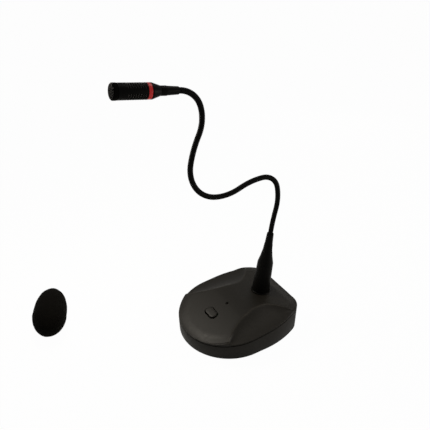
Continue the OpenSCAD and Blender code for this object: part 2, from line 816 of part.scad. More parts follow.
module capsule_tube() {
    slot_start = 1.6;
    bar_inset = 0.15;
    bar_arc = 180 - slot_arc;
    slot_s = tube_s + slot_start;
    color(black) on_head() rotate([0, 0, slot_roll]) {
        difference() {
            union() {
                translate([0, 0, tube_s]) cylinder(d = head_d, h = tube_h);
                translate([0, 0, tube_s - spigot_h])
                    cylinder(d = light_in - 2 * seat_gap, h = spigot_h + eps);
            }
            translate([0, 0, tube_s - spigot_h - eps]) cylinder(d = light_in - 2 * head_wall, h = base_len);
            translate([0, 0, tube_s + head_wall]) cylinder(d = tube_in, h = base_len);
            for (n = [0:slot_n - 1])
                translate([0, 0, slot_s + n * slot_pitch]) cylinder(d = 2 * head_d, h = slot_w);
        }
        // Two bars in the wall hold the rings between the slots
        for (side = [0, 180])
            translate([0, 0, slot_s - bar_inset]) rotate([0, 0, side - bar_arc / 2])
                rotate_extrude(angle = bar_arc)
                    translate([tube_in / 2 + bar_inset, 0])
                        square([(head_d - tube_in) / 2 - 2 * bar_inset,
                            (slot_n - 1) * slot_pitch + slot_w + 2 * bar_inset]);
    }
}

capsule_s = cap_s - capsule_h - foam_disc_h;

module slot_gauze() {
    gauze_t = 0.4;
    gauze_s = tube_s + head_wall + seat_gap;
    color(soot) on_head() translate([0, 0, gauze_s])
        tube(tube_in - 2 * seat_gap, tube_in - 2 * seat_gap - 2 * gauze_t, capsule_s - seat_gap - gauze_s);
}

module capsule_seat() {
    seat_h = 4;
    color(soot) on_head() translate([0, 0, capsule_s])
        tube(tube_in - 2 * seat_gap, capsule_d + 2 * seat_gap, seat_h);
}

module capsule() {
    lead_x = 2;
    lead_d = 0.8;
    lead_len = 1.5;
    color(steel) on_head() translate([0, 0, capsule_s]) {
        cylinder(d = capsule_d, h = capsule_h);
        for (x = [-1, 1]) translate([x * lead_x, 0, -lead_len]) cylinder(d = lead_d, h = lead_len + eps);
    }
}

module grille_foam() {
    color(soot) on_head() translate([0, 0, cap_s - foam_disc_h])
        cylinder(d = tube_in - 2 * seat_gap, h = foam_disc_h);
}

module head_cap() {
    groove = 0.5;
    nose_r = 0.8;
    cap_over = 0.15;
    cap_d = head_d + 2 * cap_over;
    hole_rings = [[0, 1], [2.6, 6], [5, 12]];
    color(black) on_head() difference() {
        union() {
            translate([0, 0, cap_s]) cylinder(d = cap_d - 2 * groove, h = groove + eps);
            translate([0, 0, cap_s + groove]) cylinder(d = cap_d, h = cap_h - groove - nose_r);
            translate([0, 0, front_s - nose_r])
                cylinder(d1 = cap_d, d2 = cap_d - 2 * nose_r, h = nose_r);
        }
        translate([0, 0, cap_s - eps]) cylinder(d = tube_in, h = cap_h - grille_t);
        for (ring = hole_rings, n = [0:ring[1] - 1]) rotate([0, 0, 360 * n / ring[1]])
            translate([ring[0], 0, front_s - 2 * grille_t])
                cylinder(d = grille_hole_d, h = 3 * grille_t);
    }
}

// Foam windscreen, taken off and lying on the table with its mouth to the left
foam_wide = 0.41;
foam_fall = 2.5;
foam_steps = 14;
foam_flat = 0.5;
function foam_r(t) = t < foam_wide
    ? foam_d / 2 * sqrt(1 - pow(1 - t / foam_wide, 2))
    : foam_d / 2 * sqrt(1 - (1 - pow(foam_mouth_d / foam_d, 2))
        * pow((t - foam_wide) / (1 - foam_wide), foam_fall));

module windscreen() {
    tip = [for (n = [0:foam_steps]) let (t = (1 - cos(90 * n / foam_steps)) * foam_wide)
        [foam_r(t), foam_len * t]];
    mouth = [for (n = [1:foam_steps]) let (t = foam_wide + (1 - foam_wide) * n / foam_steps)
        [foam_r(t), foam_len * t]];
    color(black) translate([foam_x, foam_y, foam_d / 2 - foam_flat]) rotate([0, 0, -foam_turn])
        difference() {
            rotate([0, -90, 0]) difference() {
                rotate_extrude() polygon(concat(tip, mouth, [[0, foam_len]]));
                translate([0, 0, foam_len - foam_bore_h]) cylinder(d = foam_bore_d, h = foam_bore_h + 1);
            }
            translate([-2 * foam_len, -foam_d, foam_flat - 1.5 * foam_d])
                cube([3 * foam_len, 2 * foam_d, foam_d]);
        }
}

base_cover();
base_tray();
base_pad();
ballast_plate();
cover_screws();
push_button();
switch_plunger();
switch_body();
circuit_board();
board_screws();
status_led();
inlet_shell();
inlet_nut();
inlet_insert();
inlet_pins();
socket_bezel();
mast_sleeve();
mast_washer();
mast_nut();
plug_collar();
step_ring();
neck_ferrule();
neck_link(0);  // neck_link_1
neck_link(1);  // neck_link_2
neck_link(2);  // neck_link_3
neck_link(3);  // neck_link_4
neck_link(4);  // neck_link_5
neck_link(5);  // neck_link_6
neck_link(6);  // neck_link_7
neck_link(7);  // neck_link_8
neck_link(8);  // neck_link_9
neck_link(9);  // neck_link_10
head_sleeve();
head_cone();
light_ring();
light_board();
light_leds();
capsule_tube();
slot_gauze();
capsule_seat();
capsule();
grille_foam();
head_cap();
windscreen();
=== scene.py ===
"""Dresses the desk microphone: smooth mouldings, wound neck, slotted head, foam windscreen, stage."""

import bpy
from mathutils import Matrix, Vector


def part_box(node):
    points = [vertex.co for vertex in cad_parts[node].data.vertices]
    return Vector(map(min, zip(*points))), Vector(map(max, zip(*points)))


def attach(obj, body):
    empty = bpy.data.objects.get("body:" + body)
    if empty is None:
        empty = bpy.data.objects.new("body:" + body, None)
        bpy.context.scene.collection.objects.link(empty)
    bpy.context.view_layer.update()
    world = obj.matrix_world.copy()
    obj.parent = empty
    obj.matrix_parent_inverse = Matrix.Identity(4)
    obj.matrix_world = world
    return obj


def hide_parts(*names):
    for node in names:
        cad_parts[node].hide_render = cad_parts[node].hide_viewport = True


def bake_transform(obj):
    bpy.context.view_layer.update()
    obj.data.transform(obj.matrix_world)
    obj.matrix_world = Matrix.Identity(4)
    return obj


bl_info = {
    "name": "Gooseneck Conference Microphone",
    "version": (1, 0, 0),
    "blender": (4, 5, 0),
    "location": "View3D > Sidebar > Microphone",
    "description": "Builds the finished surfaces of a desk microphone on its packed frame",
    "category": "Add Mesh",
}

import bmesh
import bpy
import numpy as np
from mathutils import Matrix, Vector

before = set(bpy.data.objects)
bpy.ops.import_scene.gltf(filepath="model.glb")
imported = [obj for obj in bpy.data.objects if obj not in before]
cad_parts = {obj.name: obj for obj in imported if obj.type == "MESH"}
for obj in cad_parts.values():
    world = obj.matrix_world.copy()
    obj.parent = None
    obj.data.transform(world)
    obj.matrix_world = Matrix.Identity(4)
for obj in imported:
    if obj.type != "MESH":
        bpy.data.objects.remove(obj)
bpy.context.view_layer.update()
MM = 0.001


def length(name, description, mm):
    """A length property whose default is given in millimetres."""
    return bpy.props.FloatProperty(
        name=name, description=description, default=mm * MM, unit="LENGTH", precision=5
    )


def angle(name, description, degrees):
    """An angle property whose default is given in degrees."""
    return bpy.props.FloatProperty(
        name=name, description=description, default=float(np.radians(degrees)), subtype="ANGLE"
    )


def tint(name, description, red, green, blue):
    """A colour property, with its default in linear light."""
    return bpy.props.FloatVectorProperty(
        name=name, description=description, default=(red, green, blue), subtype="COLOR", min=0, max=1
    )


class BaseSizes(bpy.types.PropertyGroup):
    """Sizes of the base and of what is on its panel."""

    width: length("Width", "Width of the base, and diameter of its round nose", 122)
    depth: length("Depth", "Length of the base from nose to back", 137)
    side_straight: length("Straight side", "Straight stretch of the side behind the nose", 15.5)
    side_radius: length("Side radius", "Radius of the long side arc", 114)
    corner_radius: length("Corner radius", "Radius of the back corners", 21)
    rim_front: length("Rim at the nose", "Height of the parting line at the nose", 19.4)
    rim_back: length("Rim at the back", "Height of the parting line at the back", 33)
    draft: length("Draft", "How far the foot of the wall is drawn in", 0.6)
    wall: length("Wall", "Thickness of the moulded walls", 2.4)
    floor: length("Floor", "Thickness of the tray's floor", 2.5)
    foot: length("Foot rounding", "Rounding at the foot of the tray", 1.2)
    pad: length("Pad", "Thickness of the rubber pad", 1.5)
    groove_height: length("Groove height", "Height of the groove on the parting line", 1.3)
    groove_depth: length("Groove depth", "Depth of the groove on the parting line", 1.3)
    nose: length("Nose height", "Height of the cover at its nose", 20.4)
    back: length("Back height", "Height of the cover at its back edge", 35)
    front_slope: angle("Front slope", "Slope of the front panel", 14.5)
    rear_slope: angle("Rear slope", "Fall of the rear panel towards the back", 3.4)
    ridge: length("Ridge", "Softness of the ridge between the panels", 3)
    lip: length("Lip", "Height of the cover's edge inside the scallops", 1)
    edge: length("Edge", "Rounding of the cover's edge", 0.7)
    waist: length("Waist", "Narrowest width between the scallops", 52)
    waist_place: length("Waist place", "Place of the waist along the base", 22)
    scallop_rise: length("Scallop rise", "How far the scallops widen from the waist", 26)
    scallop_front: length("Scallop front", "Length of a scallop in front of the waist", 63)
    scallop_back: length("Scallop back", "Length of a scallop behind the waist", 30)
    scallop_fade: length("Scallop fade", "Length over which a scallop grows shallow at its back end", 17)
    scallop_start: length("Scallop start", "Length over which a scallop grows deep at its front end", 4)
    roll: length("Roll", "Width over which the panels roll off to the cover's edge", 13)
    roll_drop: length("Roll drop", "Height by which the panels roll off", 2.2)
    scallop_fall: bpy.props.FloatProperty(
        name="Scallop fall", description="How quickly a scallop falls away from its crease", default=2.2
    )
    button_place: length("Button place", "Place of the button along the base", -31.5)
    button_length: length("Button length", "Length of the button across the base", 17.2)
    button_width: length("Button width", "Width of the button along the base", 9.6)
    button_corner: length("Button corner", "Corner radius of the button", 4)
    button_proud: length("Button height", "How far the button stands proud", 1.6)
    button_gap: length("Button gap", "Gap round the button", 1)
    light_place: length("Light place", "Distance of the status light behind the button", 22.8)
    light_hole: length("Light hole", "Diameter of the hole for the status light", 3.4)
    inlet_height: length("Inlet height", "Height of the inlet's axis", 16.5)
    inlet_seat: length("Inlet seat", "Diameter of the pocket for the inlet's flange", 25.7)


class MastSizes(bpy.types.PropertyGroup):
    """Sizes of the mast, from its bezel to the ferrule."""

    place: length("Place", "Place of the mast along the base", 40.4)
    lean: angle("Lean", "Backward lean of the mast", 7)
    bezel: length("Bezel", "Diameter of the bezel", 24.4)
    foot: length("Foot", "Diameter of the sleeve at its foot", 22)
    seam: length("Seam", "Diameter of the sleeve at its top seam", 19.2)
    seam_height: length("Seam height", "Height of the seam above the foot", 39.3)
    collar: length("Collar", "Height of the straight collar", 1.4)
    shoulder: length("Shoulder", "Height of the collar's shoulder", 16.8)
    bend_height: length("Bend height", "Height of the bend in the shoulder", 8.3)
    bend: length("Bend", "Diameter of the shoulder at its bend", 15)
    shoulder_top: length("Shoulder top", "Diameter at the top of the shoulder", 12)
    step: length("Step", "Height of the stepped ring", 8.5)
    step_top: length("Step top", "Diameter at the top of the stepped ring", 10.3)
    ferrule: length("Ferrule", "Length of the ferrule", 15)
    ferrule_top: length("Ferrule top", "Diameter at the top of the ferrule", 8)


class NeckSizes(bpy.types.PropertyGroup):
    """Sizes of the gooseneck."""

    thickness: length("Thickness", "Outer diameter of the gooseneck", 6)
    link: length("Link", "Length of one link", 30)
    pitch: length("Pitch", "Distance between two turns of the winding", 1.5)
    groove: length("Groove", "Depth of the winding's grooves", 0.28)
    clearance: length("Clearance", "Clearance of a ball in its cup", 0.3)


class HeadSizes(bpy.types.PropertyGroup):
    """Sizes of the head."""

    thickness: length("Thickness", "Diameter of the head", 15)
    sleeve: length("Sleeve", "Length of the sleeve behind the head", 19.7)
    sleeve_start: length("Sleeve start", "Diameter of the sleeve at the gooseneck", 7.4)
    sleeve_end: length("Sleeve end", "Diameter of the sleeve at the cone", 9.2)
    sleeve_band: length("Sleeve band", "Length of the straight band at the cone", 5.8)
    cone: length("Cone", "Length of the cone", 10.1)
    cone_band: length("Cone band", "Length of the straight band at the light ring", 1.6)
    ring: length("Ring", "Length of the light ring", 3.5)
    ring_wall: length("Ring wall", "Wall of the light ring", 1.9)
    tube: length("Tube", "Length of the slotted tube", 27.9)
    cap: length("Cap", "Length of the front cap", 4.8)
    wall: length("Wall", "Wall of the head's tubes", 1.3)
    slot_count: bpy.props.IntProperty(name="Slots", description="Number of slots on each side", default=8)
    slot_pitch: length("Slot pitch", "Distance between two slots", 2.35)
    slot_width: length("Slot width", "Width of a slot along the head", 1.1)
    slot_start: length("Slot start", "Distance of the first slot from the light ring", 1.6)
    slot_arc: angle("Slot arc", "Length of a slot round the head", 140)
    slot_roll: angle("Slot roll", "Roll of the slots about the head's axis", 15)
    grille: length("Grille", "Thickness of the front grille", 1.2)
    grille_hole: length("Grille hole", "Diameter of a hole in the front grille", 1.5)


class FoamSizes(bpy.types.PropertyGroup):
    """Size and place of the windscreen."""

    length: length("Length", "Length of the windscreen", 72)
    thickness: length("Thickness", "Largest diameter of the windscreen", 40.2)
    mouth: length("Mouth", "Diameter of the mouth end", 20)
    bore: length("Bore", "Diameter of the hollow", 14)
    bore_depth: length("Bore depth", "Depth of the hollow", 40)
    place: bpy.props.FloatVectorProperty(
        name="Place",
        description="Place of the closed end on the table",
        default=(-0.078, -0.210),
        size=2,
        unit="LENGTH",
    )
    turn: angle("Turn", "Turn of the mouth from straight left towards the back", 21)


class Finishes(bpy.types.PropertyGroup):
    """Colours of the finishes, in linear light."""

    moulding: tint("Moulding", "Charcoal plastic of the base", 0.0115, 0.0100, 0.0074)
    button: tint("Button", "Plastic of the push button", 0.0115, 0.0100, 0.0074)
    satin: tint("Satin black", "Black plastic of the mast and the inlet", 0.003, 0.0028, 0.0024)
    metal: tint("Black metal", "Black metal of the plug and the head", 0.003, 0.0028, 0.0024)
    gauze: tint("Gauze", "Colour of the gauze behind the slots", 0.3, 0.29, 0.27)
    winding: tint("Winding", "Black metal of the gooseneck", 0.0035, 0.0032, 0.0028)
    lamp: tint("Light ring", "Red plastic of the light ring", 0.55, 0.012, 0.012)
    foam: tint("Foam", "Black foam of the windscreen", 0.003, 0.0027, 0.0021)
    rubber: tint("Rubber", "Rubber of the pad", 0.012, 0.012, 0.012)
    lens: tint("Lens", "Dark red lens of the unlit status light", 0.004, 0.001, 0.001)
    chip: tint("Lamp chips", "Pale lamp chips inside the ring", 0.75, 0.73, 0.62)
    board: tint("Board", "Green lacquer of the circuit boards", 0.015, 0.09, 0.035)
    steel: tint("Steel", "Bare steel of the ballast and the fasteners", 0.52, 0.53, 0.54)
    brass: tint("Contacts", "Plated contact pins", 0.72, 0.56, 0.28)
    floor: tint("Floor", "Pale floor", 0.86, 0.86, 0.86)


class MicrophoneSettings(bpy.types.PropertyGroup):
    """All settings of the microphone."""

    base: bpy.props.PointerProperty(type=BaseSizes)
    mast: bpy.props.PointerProperty(type=MastSizes)
    neck: bpy.props.PointerProperty(type=NeckSizes)
    head: bpy.props.PointerProperty(type=HeadSizes)
    foam: bpy.props.PointerProperty(type=FoamSizes)
    finish: bpy.props.PointerProperty(type=Finishes)


# Bend of each link of the gooseneck at rest, from the mast to the head.
LINK_BEND = np.radians([-6.5, 27, 75.5, 22.5, -32.5, -46.5, -43.5, -15, 42, 66])
FIRST_STAND = 1 * MM  # height of the first joint above the ferrule
NECK_PLAY = 0.15 * MM  # play round the gooseneck where it enters its ferrule and the head
NECK_SIDES = 28
TURN_ROWS = 10  # rows of points in one turn of the winding
SINK = 1 * MM  # how far the bezel sits in the cover
LAP = 0.2 * MM  # how far a turned piece steps back from the one below
NOTCH = 0.35 * MM  # how far it steps back behind its own band
WELD = 2e-6  # points closer than this are one
SLIVER = 1e-7  # edges shorter than this go


def settings():
    """The microphone's settings on the current scene."""
    return bpy.context.scene.microphone


def sheet_faces(rows, cols, closed=False, start=0):
    """Quads of a grid of rows by cols points; closed joins the last column to the first."""
    i = np.arange(rows - 1)[:, None]
    j = np.arange(cols if closed else cols - 1)[None, :]
    n = (j + 1) % cols
    quads = np.stack([i * cols + j, i * cols + n, (i + 1) * cols + n, (i + 1) * cols + j], -1)
    return quads.reshape(-1, 4) + start


def rounded(profile, reach, steps=5, most=0.45):
    """A profile whose corners become quadratic curves. Each starts and ends at most reach from the corner,
    and at most a share of the side."""
    p = np.asarray(profile, float)
    before = p[1:-1] - p[:-2]
    after = p[2:] - p[1:-1]
    lb = np.linalg.norm(before, axis=1, keepdims=True)
    la = np.linalg.norm(after, axis=1, keepdims=True)
    a = p[1:-1] - before / lb * np.minimum(reach, most * lb)
    b = p[1:-1] + after / la * np.minimum(reach, most * la)
    t = np.linspace(0, 1, steps)[None, :, None]
    curve = (1 - t) ** 2 * a[:, None] + 2 * t * (1 - t) * p[1:-1][:, None] + t**2 * b[:, None]
    return np.concatenate([p[:1], curve.reshape(-1, 2), p[-1:]])


def tilt(a):
    """Rotation about X by the angle a, as a matrix."""
    c, s = np.cos(a), np.sin(a)
    return np.array([[1, 0, 0], [0, c, -s], [0, s, c]])


def lathe(profile, sides, origin, turn):
    """A profile of radius and height turned about the local z axis, then turned and moved into place."""
    p = np.asarray(profile, float)
    a = np.linspace(0, 2 * np.pi, sides, endpoint=False)
    points = np.stack(
        [p[:, :1] * np.cos(a), p[:, :1] * np.sin(a), np.repeat(p[:, 1:], sides, axis=1)], -1
    ).reshape(-1, 3)
    return points @ turn.T + origin, sheet_faces(len(p), sides, True)


def bar_loop(long, wide, corner, steps=10):
    """Points round a bar with four round corners."""
    a = np.linspace(0, np.pi / 2, steps)
    quarter = np.arange(4)[:, None] * np.pi / 2 + a[None, :]
    sx = np.array([1, -1, -1, 1])[:, None]
    sy = np.array([1, 1, -1, -1])[:, None]
    x = sx * (long / 2 - corner) + corner * np.cos(quarter)
    y = sy * (wide / 2 - corner) + corner * np.sin(quarter)
    return np.stack([x.ravel(), y.ravel()], -1)


def stack_loops(loops, heights):
    """Loops of equal count at their heights, as one closed skin with a fan at each end."""
    n = len(loops[0])
    rings = [np.column_stack([loop, np.full(n, z)]) for loop, z in zip(loops, heights)]
    ends = [np.repeat(rings[0].mean(0)[None], n, 0), np.repeat(rings[-1].mean(0)[None], n, 0)]
    points = np.concatenate([ends[0]] + rings + [ends[1]])
    return points, sheet_faces(len(rings) + 2, n, True)


def bare_mesh(name, points, faces):
    """A welded mesh with outward faces, from points in metres."""
    mesh = bpy.data.meshes.new(name)
    mesh.from_pydata(np.asarray(points, float).tolist(), [], np.asarray(faces, int).tolist())
    bm = bmesh.new()
    bm.from_mesh(mesh)
    bmesh.ops.remove_doubles(bm, verts=bm.verts, dist=WELD)
    bmesh.ops.dissolve_degenerate(bm, edges=bm.edges, dist=SLIVER)
    bmesh.ops.recalc_face_normals(bm, faces=bm.faces)
    bm.to_mesh(mesh)
    bm.free()
    return mesh


def smooth(mesh, degrees):
    """Smooth shading, with edges sharper than the angle kept crisp."""
    mesh.polygons.foreach_set("use_smooth", np.ones(len(mesh.polygons), bool))
    mesh.set_sharp_from_angle(angle=float(np.radians(degrees)))
    mesh.update()


def piece(name, points, faces, look, body, crisp=35, nodes=None):
    """A finished piece: mesh, smooth shading, material and body.
    It stands for the node that has its name, unless nodes says otherwise."""
    mesh = bare_mesh(name, points, faces)
    smooth(mesh, crisp)
    obj = bpy.data.objects.new(name, mesh)
    bpy.context.scene.collection.objects.link(obj)
    mesh.materials.append(look)
    nodes = [name.lower()] if nodes is None else nodes
    if nodes:
        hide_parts(*nodes)
    if body:
        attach(obj, body)
    return obj


def cut(obj, shapes, crisp=35):
    """The object less the given closed shapes, which don't touch each other."""
    starts = np.cumsum([0] + [len(points) for points, _ in shapes[:-1]])
    points = np.concatenate([points for points, _ in shapes])
    faces = np.concatenate([faces + start for (_, faces), start in zip(shapes, starts)])
    tool = bpy.data.objects.new("cutter", bare_mesh("cutter", points, faces))
    bpy.context.scene.collection.objects.link(tool)
    change = obj.modifiers.new("cut", "BOOLEAN")
    change.operation = "DIFFERENCE"
    change.solver = "EXACT"
    change.object = tool
    bpy.context.view_layer.update()
    done = bpy.data.meshes.new_from_object(obj.evaluated_get(bpy.context.evaluated_depsgraph_get()))
    obj.modifiers.clear()
    finish = obj.data.materials[0]
    obj.data = done
    done.materials.clear()
    done.materials.append(finish)
    bpy.data.objects.remove(tool)
    smooth(done, crisp)
    return obj


def bevel(obj, width, segments=2, limit=40):
    """Small rounded edges."""
    soft = obj.modifiers.new("edges", "BEVEL")
    soft.width = width
    soft.segments = segments
    soft.limit_method = "ANGLE"
    soft.angle_limit = float(np.radians(limit))
    soft.harden_normals = False


def paint(obj, name, values):
    """One number for each point, as an attribute."""
    layer = obj.data.attributes.get(name) or obj.data.attributes.new(name, "FLOAT", "POINT")
    layer.data.foreach_set("value", np.asarray(values, np.float32))


def coords(obj):
    """The object's points as an array."""
    flat = np.zeros(len(obj.data.vertices) * 3)
    obj.data.vertices.foreach_get("co", flat)
    return flat.reshape(-1, 3)


def outline(nose=48, side=30, corner=26):
    """Arcs of the base's right half from nose to back corner: centre, radius and direction of each point."""
    b = settings().base
    half = b.width / 2
    nose_y = half - b.depth / 2
    side_y = nose_y + b.side_straight
    side_x = half - b.side_radius
    corner_y = b.depth / 2 - b.corner_radius
    gap = b.side_radius - b.corner_radius
    corner_x = side_x + np.sqrt(gap**2 - (corner_y - side_y) ** 2)
    corner_a = np.pi / 2 + np.arcsin((corner_y - side_y) / gap)
    arcs = [
        ((0, nose_y), half, np.linspace(0, np.pi / 2, nose + 1)),
        ((side_x, side_y), b.side_radius, np.linspace(np.pi / 2, corner_a, side, endpoint=False)),
        ((corner_x, corner_y), b.corner_radius, np.linspace(corner_a, np.pi, corner + 1)),
    ]
    centre = np.concatenate([np.repeat([c], len(a), 0) for c, _, a in arcs])
    radius = np.concatenate([np.full(len(a), r) for _, r, a in arcs])
    return centre, radius, np.concatenate([a for _, _, a in arcs])


def wall_line(inset):
    """The right half of the base's outline, drawn in by inset."""
    centre, radius, a = outline()
    return centre + (radius - inset)[:, None] * np.stack([np.sin(a), -np.cos(a)], -1)


def wall_loop(inset):
    """The whole outline, drawn in by inset."""
    right = wall_line(inset)
    return np.concatenate([right, right[:0:-1] * [-1, 1]])


def rim_height(y):
    """Height of the parting plane, which rises from the nose to the back."""
    b = settings().base
    return (b.rim_front + b.rim_back) / 2 + (b.rim_back - b.rim_front) / b.depth * y


def spine_height(y):
    """Height of the panels: the lower of the front and the rear plane, with a soft ridge between them."""
    b = settings().base
    front = b.nose + np.tan(b.front_slope) * (y + b.depth / 2)
    rear = b.back + np.tan(b.rear_slope) * (b.depth / 2 - y)
    return (front + rear - np.sqrt((front - rear) ** 2 + b.ridge**2)) / 2


def crease_half(y):
    """Half the width between the creases: two parabolas that meet at the waist."""
    b = settings().base
    reach = np.where(y < b.waist_place, b.scallop_front, b.scallop_back)
    return b.waist / 2 + b.scallop_rise * ((y - b.waist_place) / reach) ** 2


PANEL_COLS = 22
SCALLOP_COLS = 30
WIDEST_PANEL = 0.96  # largest share of a row that the panel's columns take
CREASE_COLS = slice(PANEL_COLS - 2, PANEL_COLS + 4)
CREASE_PASSES = 3
LEAST_SKIN = 0.3 * MM  # height of the inner skin above the parting line


def cover_columns(w, crease):
    """Places across the base from the middle to the wall: even steps on the panel, then in the scallop."""
    start = np.minimum(crease, WIDEST_PANEL * w)
    n = np.arange(PANEL_COLS + SCALLOP_COLS + 1)[None, :]
    return np.where(
        n <= PANEL_COLS, start * n / PANEL_COLS, start + (w - start) * (n - PANEL_COLS) / SCALLOP_COLS
    )


def roll_off(x, y, w):
    """Share of the panels' roll-off: the squared nearness to the cover's edge, side and back."""
    b = settings().base
    nose_y = b.width / 2 - b.depth / 2
    from_nose = b.width / 2 - np.hypot(x, np.minimum(y - nose_y, 0))
    from_side = np.where(y < b.waist_place, from_nose, w - x)
    from_back = b.depth / 2 - y
    near_side, near_back = (np.clip(1 - d / b.roll, 0, 1) for d in (from_side, from_back))
    return np.minimum(near_side**2 + near_back**2, 1)


def scallop_depth(y, crease, w):
    """Share of a scallop's depth along the base: a cubic that eases in at its front and out at its back."""
    b = settings().base
    ends = y[crease < w]
    room = np.minimum((ends.max() - y) / b.scallop_fade, (y - ends.min()) / b.scallop_start)
    room = np.clip(room, 0, 1)
    return room * room * (3 - 2 * room)


def soften_crease(z):
    """Heights with a soft crease: a 1-2-1 mean over the columns beside it, a few times."""
    for _ in range(CREASE_PASSES):
        mean = 0.25 * np.roll(z, 1, 1) + 0.5 * z + 0.25 * np.roll(z, -1, 1)
        z = np.concatenate([z[:, : CREASE_COLS.start], mean[:, CREASE_COLS], z[:, CREASE_COLS.stop :]], 1)
    return z


def cover_grid(inset, drop):
    """The cover's skin as rows from nose to back and columns across: panel, then each scallop.
    The panels roll off to the cover's edge. Inside a scallop the height falls from the panel to the lip
    as a power of the distance to the wall."""
    b = settings().base
    line = wall_line(inset)
    w, y = line[:, :1], line[:, 1:]
    crease = crease_half(y)
    x = cover_columns(w, crease)
    spine, lip = spine_height(y), rim_height(y) + b.lip
    fall = np.minimum(b.roll_drop, spine - lip)
    panel = spine - fall * roll_off(x, y, w)
    top = spine - fall
    lip = top + (lip - top) * scallop_depth(y, crease, w)
    s = np.clip((x - crease) / np.maximum(w - crease, 1e-5), 0, 1)
    z = lip + (panel - lip) * (1 - s) ** b.scallop_fall
    z = soften_crease(np.where((crease >= w) | (x <= crease), panel, z))
    z = np.maximum(z - drop, rim_height(y) + LEAST_SKIN)
    right = np.stack([x, np.repeat(y, x.shape[1], 1), z], -1)
    left = right[:, :0:-1] * [-1, 1, 1]
    return np.concatenate([left, right], 1)


def edge_of(grid):
    """The grid's rim, in order: right side, back, left side."""
    return np.concatenate([grid[:, -1], grid[-1, -2::-1], grid[-2:0:-1, 0]])


def panel_frame():
    """Origin and turn of the front panel at the button."""
    b = settings().base
    front = b.nose + np.tan(b.front_slope) * (b.button_place + b.depth / 2)
    return np.array([0, b.button_place, front]), tilt(b.front_slope)


def mast_frame():
    """Origin and turn of the mast at its foot."""
    m = settings().mast
    return np.array([0, m.place, float(spine_height(np.array(m.place)))]), tilt(-m.lean)


def placed(shape, place):
    """A shape of points and faces, turned and moved into a frame."""
    points, faces = shape
    origin, turn = place
    return points @ turn.T + origin, faces


def ferrule_end():
    """Distance from the mast's foot to the centre of the gooseneck's first joint."""
    m, n = settings().mast, settings().neck
    return m.seam_height + m.collar + m.shoulder + m.step + m.ferrule + n.clearance + FIRST_STAND


def joints():
    """Places and headings of the gooseneck's joints: each link is an arc in the plane x = 0."""
    n = settings().neck
    origin, turn = mast_frame()
    headings = -settings().mast.lean + np.concatenate([[0], np.cumsum(LINK_BEND)])
    r = n.link / np.abs(LINK_BEND)
    local = np.stack(
        [0 * r, -np.sign(LINK_BEND) * r * (1 - np.cos(LINK_BEND)), r * np.sin(np.abs(LINK_BEND))], -1
    )
    c, s = np.cos(headings[:-1]), np.sin(headings[:-1])
    steps = np.stack([local[:, 0], local[:, 1] * c - local[:, 2] * s, local[:, 1] * s + local[:, 2] * c], -1)
    first = origin + turn @ [0, 0, ferrule_end()]
    return first + np.concatenate([[[0, 0, 0]], np.cumsum(steps, 0)]), headings


def neck_path(s):
    """Point and heading of the gooseneck's centre line at each distance s from its first joint."""
    n = settings().neck
    places, headings = joints()
    k = np.clip((s // n.link).astype(int), 0, len(LINK_BEND) - 1)
    bend = LINK_BEND[k]
    along = np.clip(s - k * n.link, 0, n.link)
    spare = s - k * n.link - along
    r = n.link / np.abs(bend)
    turn = np.abs(bend) * along / n.link
    y, z = -np.sign(bend) * r * (1 - np.cos(turn)), r * np.sin(turn)
    c, d = np.cos(headings[k]), np.sin(headings[k])
    heading = headings[k] + np.sign(bend) * turn
    point = places[k] + np.stack([0 * y, y * c - z * d, y * d + z * c], -1)
    return point + spare[:, None] * np.stack([0 * y, -np.sin(heading), np.cos(heading)], -1), heading


def head_frame():
    """Origin and turn of the head at its ball."""
    places, headings = joints()
    return places[-1], tilt(headings[-1])


def set_sockets(node, values):
    """Values of a node's input sockets, by name or number."""
    for key, value in values.items():
        node.inputs[key].default_value = value


def add(tree, kind, sockets=None, **values):
    """A node with its settings and the values of its sockets."""
    node = tree.nodes.new(kind)
    for key, value in values.items():
        setattr(node, key, value)
    set_sockets(node, sockets or {})
    return node


def join(tree, *pairs):
    """Links, each from an output to an input."""
    for out, into in pairs:
        tree.links.new(out, into)


def start_group(name, inputs, outputs):
    """A new node group with named numbers in and out: its tree and its two end nodes."""
    g = bpy.data.node_groups.new(name, "ShaderNodeTree")
    for key, value in inputs.items():
        g.interface.new_socket(key, in_out="INPUT", socket_type="NodeSocketFloat").default_value = value
    for key in outputs:
        g.interface.new_socket(key, in_out="OUTPUT", socket_type="NodeSocketFloat")
    return g, add(g, "NodeGroupInput"), add(g, "NodeGroupOutput")


